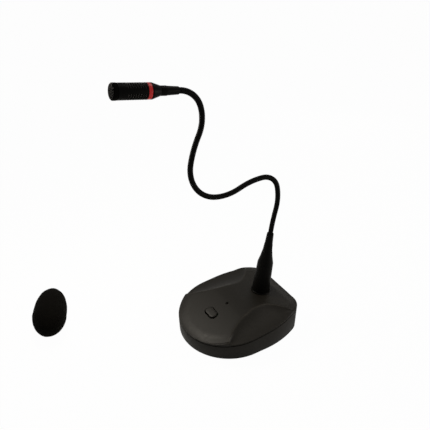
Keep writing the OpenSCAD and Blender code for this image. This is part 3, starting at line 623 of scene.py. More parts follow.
def grain_group():
    """Moulded grain: fine noise and soft pits for the height, broad noise for roughness and shade."""
    found = bpy.data.node_groups.get("Moulded Grain")
    if found:
        return found
    usual = {"Fine": 1400.0, "Broad": 60.0, "Smoothest": 0.4, "Roughest": 0.6}
    g, inp, out = start_group("Moulded Grain", usual, ("Height", "Rough", "Shade"))
    place = add(g, "ShaderNodeTexCoord").outputs["Object"]
    fine = add(g, "ShaderNodeTexNoise", {"Detail": 3.0, "Roughness": 0.65}, noise_dimensions="3D")
    pits = add(g, "ShaderNodeTexVoronoi", {"Smoothness": 0.4}, feature="SMOOTH_F1")
    broad = add(g, "ShaderNodeTexNoise", {"Detail": 5.0})
    both = add(g, "ShaderNodeMath", {1: 0.45}, operation="MULTIPLY_ADD")
    rough = add(g, "ShaderNodeMapRange", {"From Min": 0.3, "From Max": 0.7})
    join(
        g,
        (place, fine.inputs["Vector"]),
        (place, pits.inputs["Vector"]),
        (place, broad.inputs["Vector"]),
        (inp.outputs["Fine"], fine.inputs["Scale"]),
        (inp.outputs["Fine"], pits.inputs["Scale"]),
        (inp.outputs["Broad"], broad.inputs["Scale"]),
        (pits.outputs["Distance"], both.inputs[0]),
        (fine.outputs["Fac"], both.inputs[2]),
        (broad.outputs["Fac"], rough.inputs["Value"]),
        (inp.outputs["Smoothest"], rough.inputs["To Min"]),
        (inp.outputs["Roughest"], rough.inputs["To Max"]),
        (both.outputs[0], out.inputs["Height"]),
        (rough.outputs["Result"], out.inputs["Rough"]),
        (broad.outputs["Fac"], out.inputs["Shade"]),
    )
    return g


def painted_highlight_group():
    """Painted highlight along edges: the piece's edge attribute broken up by noise."""
    found = bpy.data.node_groups.get("Handled Edges")
    if found:
        return found
    g, inp, out = start_group("Handled Edges", {"Amount": 0.6}, ("Mask",))
    place = add(g, "ShaderNodeTexCoord")
    edge = add(g, "ShaderNodeAttribute", attribute_name="edge")
    noise = add(g, "ShaderNodeTexNoise", {"Scale": 220.0, "Detail": 4.0})
    spread = add(g, "ShaderNodeMapRange", {"From Min": 0.1, "From Max": 0.65})
    by_edge = add(g, "ShaderNodeMath", operation="MULTIPLY")
    by_amount = add(g, "ShaderNodeMath", operation="MULTIPLY", use_clamp=True)
    join(
        g,
        (place.outputs["Object"], noise.inputs["Vector"]),
        (noise.outputs["Fac"], spread.inputs["Value"]),
        (edge.outputs["Fac"], by_edge.inputs[0]),
        (spread.outputs["Result"], by_edge.inputs[1]),
        (by_edge.outputs[0], by_amount.inputs[0]),
        (inp.outputs["Amount"], by_amount.inputs[1]),
        (by_amount.outputs[0], out.inputs["Mask"]),
    )
    return g


def start_material(name):
    """A new material: itself, its tree and its Principled shader."""
    m = bpy.data.materials.new(name)
    m.use_nodes = True
    return m, m.node_tree, m.node_tree.nodes["Principled BSDF"]


def mixed(tree, mask, under, light):
    """A colour laid over another by a mask; the one below is a colour or a node's output."""
    mix = add(tree, "ShaderNodeMix", {"B": (*light, 1)}, data_type="RGBA")
    if isinstance(under, tuple):
        mix.inputs["A"].default_value = (*under, 1)
    else:
        tree.links.new(under, mix.inputs["A"])
    tree.links.new(mask, mix.inputs["Factor"])
    return mix.outputs["Result"]


def scaled(colour, by):
    """A colour made lighter or darker."""
    return tuple(min(1.0, c * by) for c in colour)


def bump(tree, shader, height, strength, depth):
    """Surface relief from a height; its depth is in millimetres."""
    node = add(tree, "ShaderNodeBump", {"Strength": strength, "Distance": depth * MM})
    join(tree, (height, node.inputs["Height"]), (node.outputs["Normal"], shader.inputs["Normal"]))


# Finishes with a grain. fine and broad are the grain's two scales, rough the least and most roughness,
# relief the strength of the bump and depth its depth in millimetres.
# edges is the strength of a painted highlight along the creases.
SURFACES = {
    "Charcoal moulding": dict(
        tint="moulding", fine=1500, broad=260, rough=(0.42, 0.48), relief=0.3, depth=0.06,
        edges=0.8, specular=0.2, contrast=0.08,
    ),
    "Button plastic": dict(
        tint="button", fine=1800, broad=220, rough=(0.42, 0.5), relief=0.25, depth=0.04, specular=0.2
    ),
    "Satin black plastic": dict(
        tint="satin", fine=1700, broad=180, rough=(0.38, 0.46), relief=0.2, depth=0.04, specular=0.06
    ),
    "Black coated metal": dict(
        tint="metal", fine=2200, broad=240, rough=(0.34, 0.42), relief=0.18, depth=0.03, specular=0.06
    ),
    "Matt black coating": dict(
        tint="metal", fine=2200, broad=240, rough=(0.55, 0.65), relief=0.18, depth=0.03, specular=0.02
    ),
    "Woven gauze": dict(
        tint="gauze", fine=2600, broad=300, rough=(0.45, 0.6), relief=0.3, depth=0.04, specular=0.2
    ),
    "Red light ring": dict(
        tint="lamp", fine=1300, broad=160, rough=(0.25, 0.36), relief=0.08, depth=0.03, contrast=0.08
    ),
    "Smoked lens": dict(
        tint="lens", fine=900, broad=300, rough=(0.12, 0.25), relief=0.05, depth=0.02, specular=0.1
    ),
    "Lamp chips": dict(tint="chip", fine=900, broad=300, rough=(0.15, 0.3), relief=0.05, depth=0.02),
    "Pad rubber": dict(tint="rubber", fine=1100, broad=80, rough=(0.7, 0.88), relief=0.4, depth=0.08),
    "Board lacquer": dict(tint="board", fine=700, broad=150, rough=(0.25, 0.4), relief=0.1, depth=0.03),
    "Bare steel": dict(
        tint="steel", fine=900, broad=90, rough=(0.28, 0.42), relief=0.15, depth=0.03, metal=1.0
    ),
    "Plated contacts": dict(
        tint="brass", fine=1500, broad=200, rough=(0.18, 0.3), relief=0.08, depth=0.02, metal=1.0
    ),
}
USUAL = dict(edges=0.0, metal=0.0, specular=0.5, contrast=0.14)
HIGHLIGHT_LIFT = 2.6  # how much lighter than the rest the painted highlight on an edge is


def grain_in(tree, fine, broad, rough):
    """The grain placed in a material with its own values."""
    values = {"Fine": fine, "Broad": broad, "Smoothest": rough[0], "Roughest": rough[1]}
    return add(tree, "ShaderNodeGroup", values, node_tree=grain_group())


def grained(name):
    """A moulded, cast or painted surface with grain, uneven gloss and, if asked, a painted highlight along
    its edges.
    """
    s = USUAL | SURFACES[name]
    colour = tuple(getattr(settings().finish, s["tint"]))
    m, tree, shader = start_material(name)
    grain = grain_in(tree, s["fine"], s["broad"], s["rough"])
    dark, light = scaled(colour, 1 - s["contrast"]), scaled(colour, 1 + s["contrast"])
    tone = mixed(tree, grain.outputs["Shade"], dark, light)
    if s["edges"]:
        # Painted highlight: the creases are laid over with a lighter colour.
        highlight_node = add(tree, "ShaderNodeGroup", {"Amount": s["edges"]}, node_tree=painted_highlight_group())
        tone = mixed(tree, highlight_node.outputs["Mask"], tone, scaled(colour, HIGHLIGHT_LIFT))
    join(tree, (tone, shader.inputs["Base Color"]), (grain.outputs["Rough"], shader.inputs["Roughness"]))
    set_sockets(shader, {"Metallic": s["metal"], "Specular IOR Level": s["specular"]})
    bump(tree, shader, grain.outputs["Height"], s["relief"], s["depth"])
    return m


def red_lamp(name):
    """Translucent red plastic of the light ring, faintly lit from inside."""
    m = grained(name)
    glow = {
        "Subsurface Weight": 0.25,
        "Subsurface Radius": (0.004, 0.0006, 0.0006),
        "Subsurface Scale": 1.0,
        "Emission Color": (*settings().finish.lamp, 1),
        "Emission Strength": 0.18,
    }
    set_sockets(m.node_tree.nodes["Principled BSDF"], glow)
    return m


def wound_metal(name):
    """Black wound metal: painted shade darkens the grooves, and it is a little rubbed on the turns."""
    colour = tuple(settings().finish.winding)
    m, tree, shader = start_material(name)
    grain = grain_in(tree, fine=1900.0, broad=140.0, rough=(0.36, 0.5))
    groove = add(tree, "ShaderNodeAttribute", attribute_name="groove")
    dark, rubbed, deep = (scaled(colour, by) for by in (0.85, 1.3, 0.25))
    tone = mixed(tree, grain.outputs["Shade"], dark, rubbed)
    # Painted shade: the grooves are painted darker.
    tone = mixed(tree, groove.outputs["Fac"], tone, deep)
    join(tree, (tone, shader.inputs["Base Color"]), (grain.outputs["Rough"], shader.inputs["Roughness"]))
    set_sockets(shader, {"Specular IOR Level": 0.06})
    bump(tree, shader, grain.outputs["Height"], strength=0.15, depth=0.03)
    return m


def open_foam(name):
    """Black open-cell foam: matt, with pits between thin struts, the pits painted darker as painted shade and
    the struts lighter as painted light, and a slow mottle in their depth.
    """
    colour = tuple(settings().finish.foam)
    m, tree, shader = start_material(name)
    place = add(tree, "ShaderNodeTexCoord").outputs["Object"]
    cells = add(tree, "ShaderNodeTexVoronoi", {"Scale": 1150.0}, feature="F1")
    mottle = add(tree, "ShaderNodeTexNoise", {"Scale": 130.0, "Detail": 4.0})
    depth = add(tree, "ShaderNodeMath", {1: 0.35}, operation="MULTIPLY_ADD")
    # Painted shade in the pits and painted light on the struts.
    shaded_pit, lit_strut = scaled(colour, 0.5), scaled(colour, 1.7)
    tone = mixed(tree, cells.outputs["Distance"], shaded_pit, lit_strut)
    join(
        tree,
        (place, cells.inputs["Vector"]),
        (place, mottle.inputs["Vector"]),
        (mottle.outputs["Fac"], depth.inputs[0]),
        (cells.outputs["Distance"], depth.inputs[2]),
        (tone, shader.inputs["Base Color"]),
    )
    set_sockets(shader, {"Roughness": 0.95, "Specular IOR Level": 0.05})
    bump(tree, shader, depth.outputs[0], strength=0.7, depth=0.5)
    return m


MAKERS = {"Red light ring": red_lamp, "Black wound metal": wound_metal, "Open-cell foam": open_foam}


def finish(name):
    """The material of a finish, made when it is first asked for."""
    return bpy.data.materials.get(name) or MAKERS.get(name, grained)(name)


def cover_cuts():
    """What is cut from the cover: the button's window and the light's hole, which widen near the surface,
    and the seat of the mast's bezel."""
    b, m = settings().base, settings().mast
    deep, high = -8 * MM, 6 * MM
    window_slope, hole_slope = (-0.6 * MM, -0.15 * MM), (-0.85 * MM, -0.45 * MM)
    gap, wide = b.button_gap, b.button_gap + 0.4 * MM
    window = [
        bar_loop(b.button_length + 2 * g, b.button_width + 2 * g, b.button_corner + g)
        for g in (gap, gap, wide, wide)
    ]
    window = stack_loops(window, [deep, *window_slope, high])
    r = b.light_hole / 2
    rim = r + 0.3 * MM
    hole = [(0, deep), (r, deep), (r, hole_slope[0]), (rim, hole_slope[1]), (rim, high), (0, high)]
    hole = lathe(hole, 48, np.array([0, b.light_place, 0]), np.eye(3))
    seat, above = m.bezel / 2 + 0.05 * MM, 30 * MM
    seat = lathe([(0, -SINK), (seat, -SINK), (seat, above), (0, above)], 96, *mast_frame())
    return [placed(window, panel_frame()), placed(hole, panel_frame()), seat]


def paint_crease_highlight(cover):
    """The edge attribute of the creases, which carries a painted highlight: a bell curve across them, which
    fades behind the waist.
    """
    b = settings().base
    width, last, fade = 0.9 * MM, 46 * MM, 10 * MM
    at = coords(cover)
    crease = crease_half(at[:, 1])
    shown = np.where(at[:, 1] > b.waist_place, np.clip((last - crease) / fade, 0, 1), 1)
    paint(cover, "edge", shown * np.exp(-(((np.abs(at[:, 0]) - crease) / width) ** 2)))


def build_cover():
    """The cover: outer skin, an edge rounded by a quarter circle, rim and inner skin, less its openings."""
    b = settings().base
    top, under = cover_grid(b.edge, 0), cover_grid(b.wall, b.wall)
    rim = edge_of(top)
    loops = [rim]
    for t in np.linspace(0, np.pi / 2, 6)[1:]:
        line = edge_of(cover_grid(b.edge * (1 - np.sin(t)), 0))
        loops.append(np.column_stack([line[:, :2], rim[:, 2] - b.edge * (1 - np.cos(t))]))
    for inset in (0.0, b.wall):
        line = edge_of(cover_grid(inset, 0))
        loops.append(np.column_stack([line[:, :2], rim_height(line[:, 1])]))
    loops.append(edge_of(under))
    rows, cols = top.shape[:2]
    start = rows * cols
    points = np.concatenate([top.reshape(-1, 3)] + loops + [under.reshape(-1, 3)])
    faces = np.concatenate(
        [
            sheet_faces(rows, cols),
            sheet_faces(len(loops), len(rim), True, start),
            sheet_faces(rows, cols, False, start + len(loops) * len(rim)),
        ]
    )
    cover = piece("Base_Cover", points, faces, finish("Charcoal moulding"), "base", 50)
    cut(cover, cover_cuts(), 32)
    paint_crease_highlight(cover)


def inlet_pocket():
    """The pocket of the inlet in the back wall: a bore for its shell and a wider seat for its flange."""
    b = settings().base
    flange, grip, behind = 2.2 * MM, 1.75 * MM, 80 * MM
    low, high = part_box("inlet_shell")
    start, seat = low.y - MM, b.depth / 2 - flange
    r, bore = b.inlet_seat / 2, (high.x - low.x) / 2 - grip
    pocket = [(0, start), (bore, start), (bore, seat), (r, seat), (r, behind), (0, behind)]
    return lathe(pocket, 96, np.array([0, 0, b.inlet_height]), tilt(-np.pi / 2))


def build_tray():
    """The tray as loops of the outline: rounded foot, drafted wall, groove with a soft edge, tongue, floor.
    A loop's height counts from the table or from the parting line. The pocket of the inlet is cut out."""
    b = settings().base
    soft, cut_back = 0.3 * MM, 0.3
    groove, tongue = -b.groove_height, b.groove_depth + b.wall
    turns = np.linspace(0, np.pi / 2, 6)
    rings = [(b.draft + b.foot * (1 - np.sin(t)), b.pad + b.foot * (1 - np.cos(t)), False) for t in turns]
    rings += [(0.0, groove - soft, True), (cut_back * soft, groove - cut_back * soft, True)]
    rings += [(soft, groove, True), (b.groove_depth, groove, True)]
    rings += [(b.groove_depth, 0.0, True), (tongue, 0.0, True)]
    rings += [(b.draft + tongue, b.pad + b.floor, False)]
    loops = []
    for inset, height, on_rim in rings:
        line = wall_loop(inset)
        base = rim_height(line[:, 1]) if on_rim else np.zeros(len(line))
        loops.append(np.column_stack([line, height + base]))
    n = len(loops[0])
    first, final = (np.repeat([[0, 0, loop[0, 2]]], n, 0) for loop in (loops[0], loops[-1]))
    points = np.concatenate([first] + loops + [final])
    faces = sheet_faces(len(loops) + 2, n, True)
    cut(piece("Base_Tray", points, faces, finish("Charcoal moulding"), "base"), [inlet_pocket()])


def build_button():
    """The push button: straight sides, an edge rounded by a quarter circle and a low parabolic crown."""
    b = settings().base
    foot, edge, crown, crown_width = -3.6 * MM, 0.7 * MM, 0.2 * MM, 1.9 * MM
    shoulder = b.button_proud - edge - crown
    steps = [(0.0, foot), (0.0, shoulder)]
    for t in np.linspace(0, np.pi / 2, 7)[1:]:
        steps.append((edge * (1 - np.cos(t)), shoulder + edge * np.sin(t)))
    for share in (0.35, 0.7, 1.0):
        steps.append((edge + crown_width * share, b.button_proud - crown * (1 - share) ** 2))
    loops = [
        bar_loop(b.button_length - 2 * d, b.button_width - 2 * d, b.button_corner - d) for d, _ in steps
    ]
    points, faces = placed(stack_loops(loops, [z for _, z in steps]), panel_frame())
    piece("Push_Button", points, faces, finish("Button plastic"), "button", 40)


def turned_piece(name, look, body, place, profile, reach, sides=96):
    """A turned piece: a profile of radius and height with soft corners; reach is in millimetres."""
    points, faces = lathe(rounded(profile, reach * MM), sides, *place)
    return piece(name, points, faces, finish(look), body, 30)


def build_mast():
    """The mast: bezel, tapered sleeve, plug collar with its shoulder, stepped ring and ferrule."""
    m, n = settings().mast, settings().neck
    place = mast_frame()
    seam, collar = m.seam_height, m.seam_height + m.collar
    shoulder = collar + m.shoulder
    step, top = shoulder + m.step, shoulder + m.step + m.ferrule
    satin, metal = "Satin black plastic", "Black coated metal"

    r, edge, slope = m.bezel / 2, 0.4 * MM, 0.6 * MM
    bezel = [(0, -SINK), (r, -SINK), (r, edge), (r - slope, MM), (0, MM)]
    turned_piece("Socket_Bezel", satin, "base", place, bezel, 0.3)

    sleeve = [(0, MM), (m.foot / 2, MM), (m.seam / 2, seam), (0, seam)]
    turned_piece("Mast_Sleeve", satin, "base", place, sleeve, 0.25)

    r, end = m.seam / 2, m.shoulder_top / 2
    plug = [(0, seam), (r - LAP, seam), (r, seam + LAP), (r, collar)]
    plug += [(m.bend / 2, collar + m.bend_height), (end, shoulder), (0, shoulder)]
    turned_piece("Plug_Collar", metal, "base", place, plug, 1.6)

    band = shoulder + 1.4 * MM
    ring = [(0, shoulder), (end - LAP, shoulder), (end - LAP, band), (end - NOTCH, band)]
    ring += [(m.step_top / 2, step), (0, step)]
    turned_piece("Step_Ring", metal, "base", place, ring, 0.2)

    r, hole = m.step_top / 2, n.thickness / 2 + NECK_PLAY
    band, floor = step + 1.2 * MM, top - 2 * MM
    ferrule = [(0, step), (r - LAP, step), (r - LAP, band), (r - NOTCH, band)]
    ferrule += [(m.ferrule_top / 2, top), (hole, top), (hole, floor), (0, floor)]
    turned_piece("Neck_Ferrule", satin, "base", place, ferrule, 0.2)


def wound_tube(start, end):
    """A wound tube along the neck's line from start to end.
    The radius falls into a groove once a pitch, and the groove climbs by one pitch for each turn."""
    n = settings().neck
    rows = int(round((end - start) / n.pitch * TURN_ROWS)) + 1
    s = np.linspace(start, end, rows)
    a = np.linspace(0, 2 * np.pi, NECK_SIDES, endpoint=False)
    phase = s[:, None] / n.pitch - a[None, :] / (2 * np.pi)
    r = n.thickness / 2 - n.groove * np.abs(np.cos(np.pi * phase)) ** 3
    centre, heading = neck_path(s)
    side = np.array([1.0, 0, 0])
    up = np.stack([0 * s, np.cos(heading), np.sin(heading)], -1)
    ring = (r * np.cos(a))[..., None] * side + (r * np.sin(a))[..., None] * up[:, None, :]
    points = (centre[:, None, :] + ring).reshape(-1, 3)
    first, final = np.repeat(centre[:1], NECK_SIDES, 0), np.repeat(centre[-1:], NECK_SIDES, 0)
    return np.concatenate([first, points, final]), sheet_faces(rows + 2, NECK_SIDES, True)


def paint_groove_shade(obj, start, end):
    """The groove attribute of a wound piece, which sets the painted shade in the grooves: how far each point
    lies below the outer radius.
    """
    n = settings().neck
    steps, count = 400, 8
    line, _ = neck_path(np.linspace(start, end, steps))
    blocks = np.array_split(coords(obj), count)
    far = np.concatenate([np.linalg.norm(at[:, None] - line[None], axis=2).min(1) for at in blocks])
    paint(obj, "groove", np.clip((n.thickness / 2 - far) / n.groove, 0, 1))


def build_neck():
    """The gooseneck: one wound piece over each joint, from the middle of a link to the middle of the next."""
    n = settings().neck
    in_ferrule, in_head, bend_reach = 2 * MM, 1.8 * MM, 9 * MM
    count = len(LINK_BEND)
    for k in range(count + 1):
        start = max(k * n.link - n.link / 2, -in_ferrule)
        end = min(k * n.link + n.link / 2, count * n.link + in_head)
        nodes = [f"neck_link_{k + 1}"] if k < count else []
        points, faces = wound_tube(start, end)
        obj = piece(f"Neck_Winding_{k + 1}", points, faces, finish("Black wound metal"), None, 70, nodes)
        paint_groove_shade(obj, start, end)
        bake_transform(obj)


def arc_bar(inner, outer, foot, side, steps=41):
    """A bar with four corners carried along an arc round the head: the shape that one slot takes away."""
    h = settings().head
    a = (h.slot_roll + side + np.linspace(-0.5, 0.5, steps) * h.slot_arc)[:, None]
    reach = np.array([inner, outer, outer, inner])
    z = foot + np.array([0, 0, h.slot_width, h.slot_width])
    rings = np.stack([reach * np.cos(a), reach * np.sin(a), z + 0 * a], -1)
    ends = rings[[0, -1]].mean(1, keepdims=True).repeat(4, 1)
    points = np.concatenate([ends[:1], rings, ends[1:]])
    return points.reshape(-1, 3), sheet_faces(len(points), 4, True)


def build_grille_foam(reach, front, place):
    """The foam disc behind the grille: a turned profile, soft at its edges, that swells by a cosine."""
    inset, swell, thick = 0.4 * MM, 0.25 * MM, 1.6 * MM
    low, back = front - swell, front - thick
    r = np.linspace(0, reach - inset, 12)
    face = np.column_stack([r, low + swell * np.cos(np.pi / 2 * r / reach)])
    edge = rounded([face[-1], (reach, low), (reach, back), (0, back)], 0.35 * MM)
    points, faces = lathe(np.concatenate([face, edge[1:]]), 64, *place)
    disc = piece("Grille_Foam", points, faces, finish("Open-cell foam"), "head", 60)


def head_slots(inner, outer, start, place):
    """The slots on both sides of the head, one pitch apart."""
    h = settings().head
    return [
        placed(arc_bar(inner, outer, start + k * h.slot_pitch, side), place)
        for k in range(h.slot_count)
        for side in (np.pi / 2, -np.pi / 2)
    ]


# Radius of each ring of holes in the grille, and the number of holes in it.
GRILLE_RINGS = ((0, 1), (2.6 * MM, 6), (5 * MM, 12))


def grille_holes(front, place):
    """The holes of the grille: one in the middle and two rings of holes round it."""
    q = settings().head.grille_hole / 2
    low, high = front - 2 * MM, front + MM
    shape = [(0, low), (q, low), (q, high), (0, high)]
    holes = []
    for reach, count in GRILLE_RINGS:
        for a in 2 * np.pi * np.arange(count) / count:
            at = np.array([reach * np.cos(a), reach * np.sin(a), 0])
            holes.append(placed(lathe(shape, 24, at, np.eye(3)), place))
    return holes


def build_head():
    """The head: sleeve, cone, red light ring, slotted tube and front cap with a pattern of holes."""
    h, n = settings().head, settings().neck
    place = head_frame()
    cone, ring = h.sleeve, h.sleeve + h.cone
    tube, cap = ring + h.ring, ring + h.ring + h.tube
    front = cap + h.cap
    r = h.thickness / 2
    metal = "Black coated metal"

    hole, foot, floor = n.thickness / 2 + NECK_PLAY, 1.5 * MM, 3 * MM
    end, band, recess = h.sleeve_end / 2, cone - h.sleeve_band, 0.25 * MM
    sleeve = [(0, floor), (hole, floor), (hole, foot), (h.sleeve_start / 2, foot)]
    sleeve += [(end - recess, band), (end, band), (end, cone), (0, cone)]
    turned_piece("Head_Sleeve", metal, "head", place, sleeve, 0.2)

    profile = [(0, cone), (end, cone), (r, ring - h.cone_band), (r, ring), (0, ring)]
    turned_piece("Head_Cone", metal, "head", place, profile, 0.5)

    inner = r - h.ring_wall
    profile = [(inner, ring), (r, ring), (r, tube), (inner, tube), (inner, ring)]
    turned_piece("Light_Ring", "Red light ring", "head", place, profile, 0.2)

    inner, wires, seam = r - h.wall, 3 * MM, cap - 3 * MM
    profile = [(inner, seam), (inner, tube + h.wall), (wires, tube + h.wall), (wires, tube), (r, tube)]
    profile += [(r, cap), (inner, cap), (inner, seam)]
    body = turned_piece("Capsule_Tube", metal, "head", place, profile, 0.15, 128)
    slots = head_slots(inner - h.wall, r + h.wall, tube + h.slot_start, place)
    bevel(cut(body, slots), 0.12 * MM)

    w, groove, edge = r + 0.15 * MM, 0.5 * MM, 0.8 * MM
    back, step = front - h.grille, cap + groove
    profile = [(0, back), (inner, back), (inner, cap), (w - groove, cap), (w - groove, step)]
    profile += [(w, step), (w, front - edge), (w - edge, front), (0, front)]
    nose = turned_piece("Head_Cap", "Matt black coating", "head", place, profile, 0.25, 128)
    bevel(cut(nose, grille_holes(front, place)), 0.1 * MM)
    build_grille_foam(inner - 0.05 * MM, cap, place)


def foam_profile():
    """Half section of the windscreen: an ellipse to the widest place, a root of a falling power to the mouth,
    a rounded mouth and a hollow with a flat end."""
    f = settings().foam
    wide, fall, mouth_rows = 0.41, 2.5, 8
    t = np.concatenate([wide * (1 - np.cos(np.linspace(0, np.pi / 2, 60))), np.linspace(wide, 1, 50)[1:]])
    round_end = f.thickness / 2 * np.sqrt(np.clip(1 - (1 - t / wide) ** 2, 0, 1))
    share = np.clip((t - wide) / (1 - wide), 0, 1) ** fall
    taper = f.thickness / 2 * np.sqrt(1 - (1 - (f.mouth / f.thickness) ** 2) * share)
    egg = np.column_stack([np.where(t < wide, round_end, taper), f.length * t])
    b, deep = f.bore / 2, f.length - f.bore_depth
    corners = [egg[-mouth_rows], (f.mouth / 2, f.length), (b, f.length), (b, deep), (0, deep)]
    mouth = rounded(corners, 2.2 * MM, 9)
    end = np.column_stack([np.linspace(b, 0, 6)[1:], np.full(5, deep)])
    return np.concatenate([egg[:-mouth_rows], mouth[1:-1], end])


def build_windscreen():
    """The windscreen: its half section turned about its axis, uneven by a mean of small sine waves.
    It lies on the table, so nothing goes below z = 0."""
    f = settings().foam
    sink, count, shortest, longest, uneven = 0.5 * MM, 36, 4, 16, 0.7 * MM
    a = np.pi - f.turn
    turn = np.array([[0, -np.sin(a), np.cos(a)], [0, np.cos(a), np.sin(a)], [1, 0, 0]]) * [-1, 1, 1]
    origin = np.array([f.place[0], f.place[1], f.thickness / 2 - sink])
    points, faces = lathe(foam_profile(), 144, origin, turn)
    out = points - (origin + turn @ np.array([0, 0, f.length / 2]))
    out /= np.linalg.norm(out, axis=1, keepdims=True)
    waves = np.random.default_rng(7)
    push = np.zeros(len(points))
    for _ in range(count):
        k = waves.normal(size=3)
        k *= 2 * np.pi / (waves.uniform(shortest, longest) * MM) / np.linalg.norm(k)
        push += np.sin(points @ k + waves.uniform(0, 2 * np.pi))
    points = points + out * (push / count * uneven)[:, None]
    points[:, 2] = np.maximum(points[:, 2], 0.0)
    obj = piece("Windscreen", points, faces, finish("Open-cell foam"), "windscreen", 80)


FITTINGS = {
    "Pad rubber": ("base_pad", "capsule_seat"),
    "Bare steel": ("ballast_plate", "cover_screws", "board_screws", "mast_washer", "mast_nut", "capsule"),
    "Board lacquer": ("circuit_board", "light_board"),
    "Woven gauze": ("slot_gauze",),
    "Satin black plastic": ("switch_plunger", "switch_body", "inlet_shell", "inlet_nut", "inlet_insert"),
    "Smoked lens": ("status_led",),
    "Plated contacts": ("inlet_pins",),
    "Lamp chips": ("light_leds",),
}


def dress_fittings():
    """Finishes of the nodes that stay as they are: pad, light, inlet and the parts inside."""
    for look, nodes in FITTINGS.items():
        for name in nodes:
            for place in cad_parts[name].material_slots:
                place.material = finish(look)


FLOOR_HALF = 4.0
FLOOR_SINK = 0.1 * MM
FLOOR_GLOW = 0.98  # share of the floor's white that is its own; the rest takes the shadow
GLOSS_SHARE = 0.28  # share of the white surround that shows in a gloss
ROOM_LIGHT = 0.1  # strength of the surround as a light
LAMP_COLOUR = (1.0, 0.93, 0.82)
# Each softbox: name, place, aim, size and power.
LAMPS = (
    ("Key", (-0.19, -0.155, 0.34), (0.03, -0.06, 0.02), 0.1, 0.8),
    ("Side", (0.5, 0.62, 0.2), (0.03, 0.03, 0.03), 0.3, 1.6),
    ("Fill", (0.7, -0.9, 0.7), (0, 0, 0.12), 0.9, 0.5),
    ("Top", (-0.13, 0.42, 0.95), (0.03, 0, 0.1), 0.4, 0.9),
    ("Back", (-0.5, 0.68, 0.21), (0.02, 0.06, 0.035), 0.2, 0.27),
)
CAMERA_PLACE = (0.4201, -0.2746, 0.4538)
CAMERA_TURN, CAMERA_DIP = np.radians(59.42), np.radians(30.60)
FOCAL_PIXELS, FRAME_PIXELS, SENSOR = 525, 430, 36


def seen_rays(tree):
    """1 for rays straight from the camera or through a clear piece, and a share for rays off a gloss."""
    path = add(tree, "ShaderNodeLightPath")
    clear = add(tree, "ShaderNodeMath", operation="MAXIMUM")
    gloss = add(tree, "ShaderNodeMath", {1: GLOSS_SHARE}, operation="MULTIPLY")
    either = add(tree, "ShaderNodeMath", operation="MAXIMUM")
    join(
        tree,
        (path.outputs["Is Camera Ray"], clear.inputs[0]),
        (path.outputs["Is Transmission Ray"], clear.inputs[1]),
        (path.outputs["Is Glossy Ray"], gloss.inputs[0]),
        (clear.outputs[0], either.inputs[0]),
        (gloss.outputs[0], either.inputs[1]),
    )
    return either.outputs[0]


def build_floor():
    """A pale floor that looks white and keeps the object's shadow."""
    h = FLOOR_HALF
    mesh = bare_mesh("Floor", [(-h, -h, 0), (h, -h, 0), (h, h, 0), (-h, h, 0)], [(0, 1, 2, 3)])
    floor = bpy.data.objects.new("Floor", mesh)
    floor.location.z = -FLOOR_SINK
    bpy.context.scene.collection.objects.link(floor)
    m, tree, shader = start_material("Floor")
    set_sockets(
        shader, {"Base Color": (*settings().finish.floor, 1), "Roughness": 0.9, "Specular IOR Level": 0.1}
    )
    glow = add(tree, "ShaderNodeEmission")
    share = add(tree, "ShaderNodeMath", {1: FLOOR_GLOW}, operation="MULTIPLY")
    mix = add(tree, "ShaderNodeMixShader")
    join(
        tree,
        (seen_rays(tree), share.inputs[0]),
        (share.outputs[0], mix.inputs[0]),
        (shader.outputs[0], mix.inputs[1]),
        (glow.outputs[0], mix.inputs[2]),
        (mix.outputs[0], tree.nodes["Material Output"].inputs[0]),
    )
    mesh.materials.append(m)


def build_surround():
    """A surround that looks white and gives little light."""
    world = bpy.data.worlds.new("Studio")
    bpy.context.scene.world = world
    world.use_nodes = True
    tree = world.node_tree
    sky = tree.nodes["Background"]
    bright = add(tree, "ShaderNodeMath", {1: 1 - ROOM_LIGHT, 2: ROOM_LIGHT}, operation="MULTIPLY_ADD")
    join(tree, (seen_rays(tree), bright.inputs[0]), (bright.outputs[0], sky.inputs["Strength"]))
    set_sockets(sky, {"Color": (1, 1, 1, 1)})


def build_lights():
    """Square softboxes, each pointed at its aim."""
    for name, place, aim, size, power in LAMPS:
        data = bpy.data.lights.new(name, "AREA")
        data.size = size
        data.energy = power
        data.color = LAMP_COLOUR
        lamp = bpy.data.objects.new(name, data)
        lamp.location = place
        lamp.rotation_euler = (Vector(aim) - Vector(place)).to_track_quat("-Z", "Y").to_euler()
        bpy.context.scene.collection.objects.link(lamp)


def build_camera():
    """The camera at the photo's viewing angle: turned about z, then dipped below the horizon."""
    scene = bpy.context.scene
    data = bpy.data.cameras.new("Camera")
    data.sensor_width = SENSOR
    data.lens = FOCAL_PIXELS / FRAME_PIXELS * SENSOR
    data.clip_start = 0.01
    camera = bpy.data.objects.new("Camera", data)
    a, e = CAMERA_TURN, CAMERA_DIP
    right = Vector((np.cos(a), np.sin(a), 0))
    ahead = Vector((-np.sin(a) * np.cos(e), np.cos(a) * np.cos(e), -np.sin(e)))
    turn = Matrix((right, right.cross(ahead), -ahead)).transposed().to_4x4()
    camera.matrix_world = Matrix.Translation(CAMERA_PLACE) @ turn
    scene.collection.objects.link(camera)
    scene.camera = camera
    scene.view_settings.view_transform = "Standard"


class MICROPHONE_OT_base(bpy.types.Operator):
    """Build the cover and the tray of the base"""

    bl_idname = "microphone.base"
    bl_label = "Base"
    bl_options = {"REGISTER", "UNDO"}

    def execute(self, context):
        build_cover()
        build_tray()
        return {"FINISHED"}


class MICROPHONE_OT_button(bpy.types.Operator):
    """Build the push button"""

    bl_idname = "microphone.button"
    bl_label = "Push button"
    bl_options = {"REGISTER", "UNDO"}

    def execute(self, context):
        build_button()
        return {"FINISHED"}


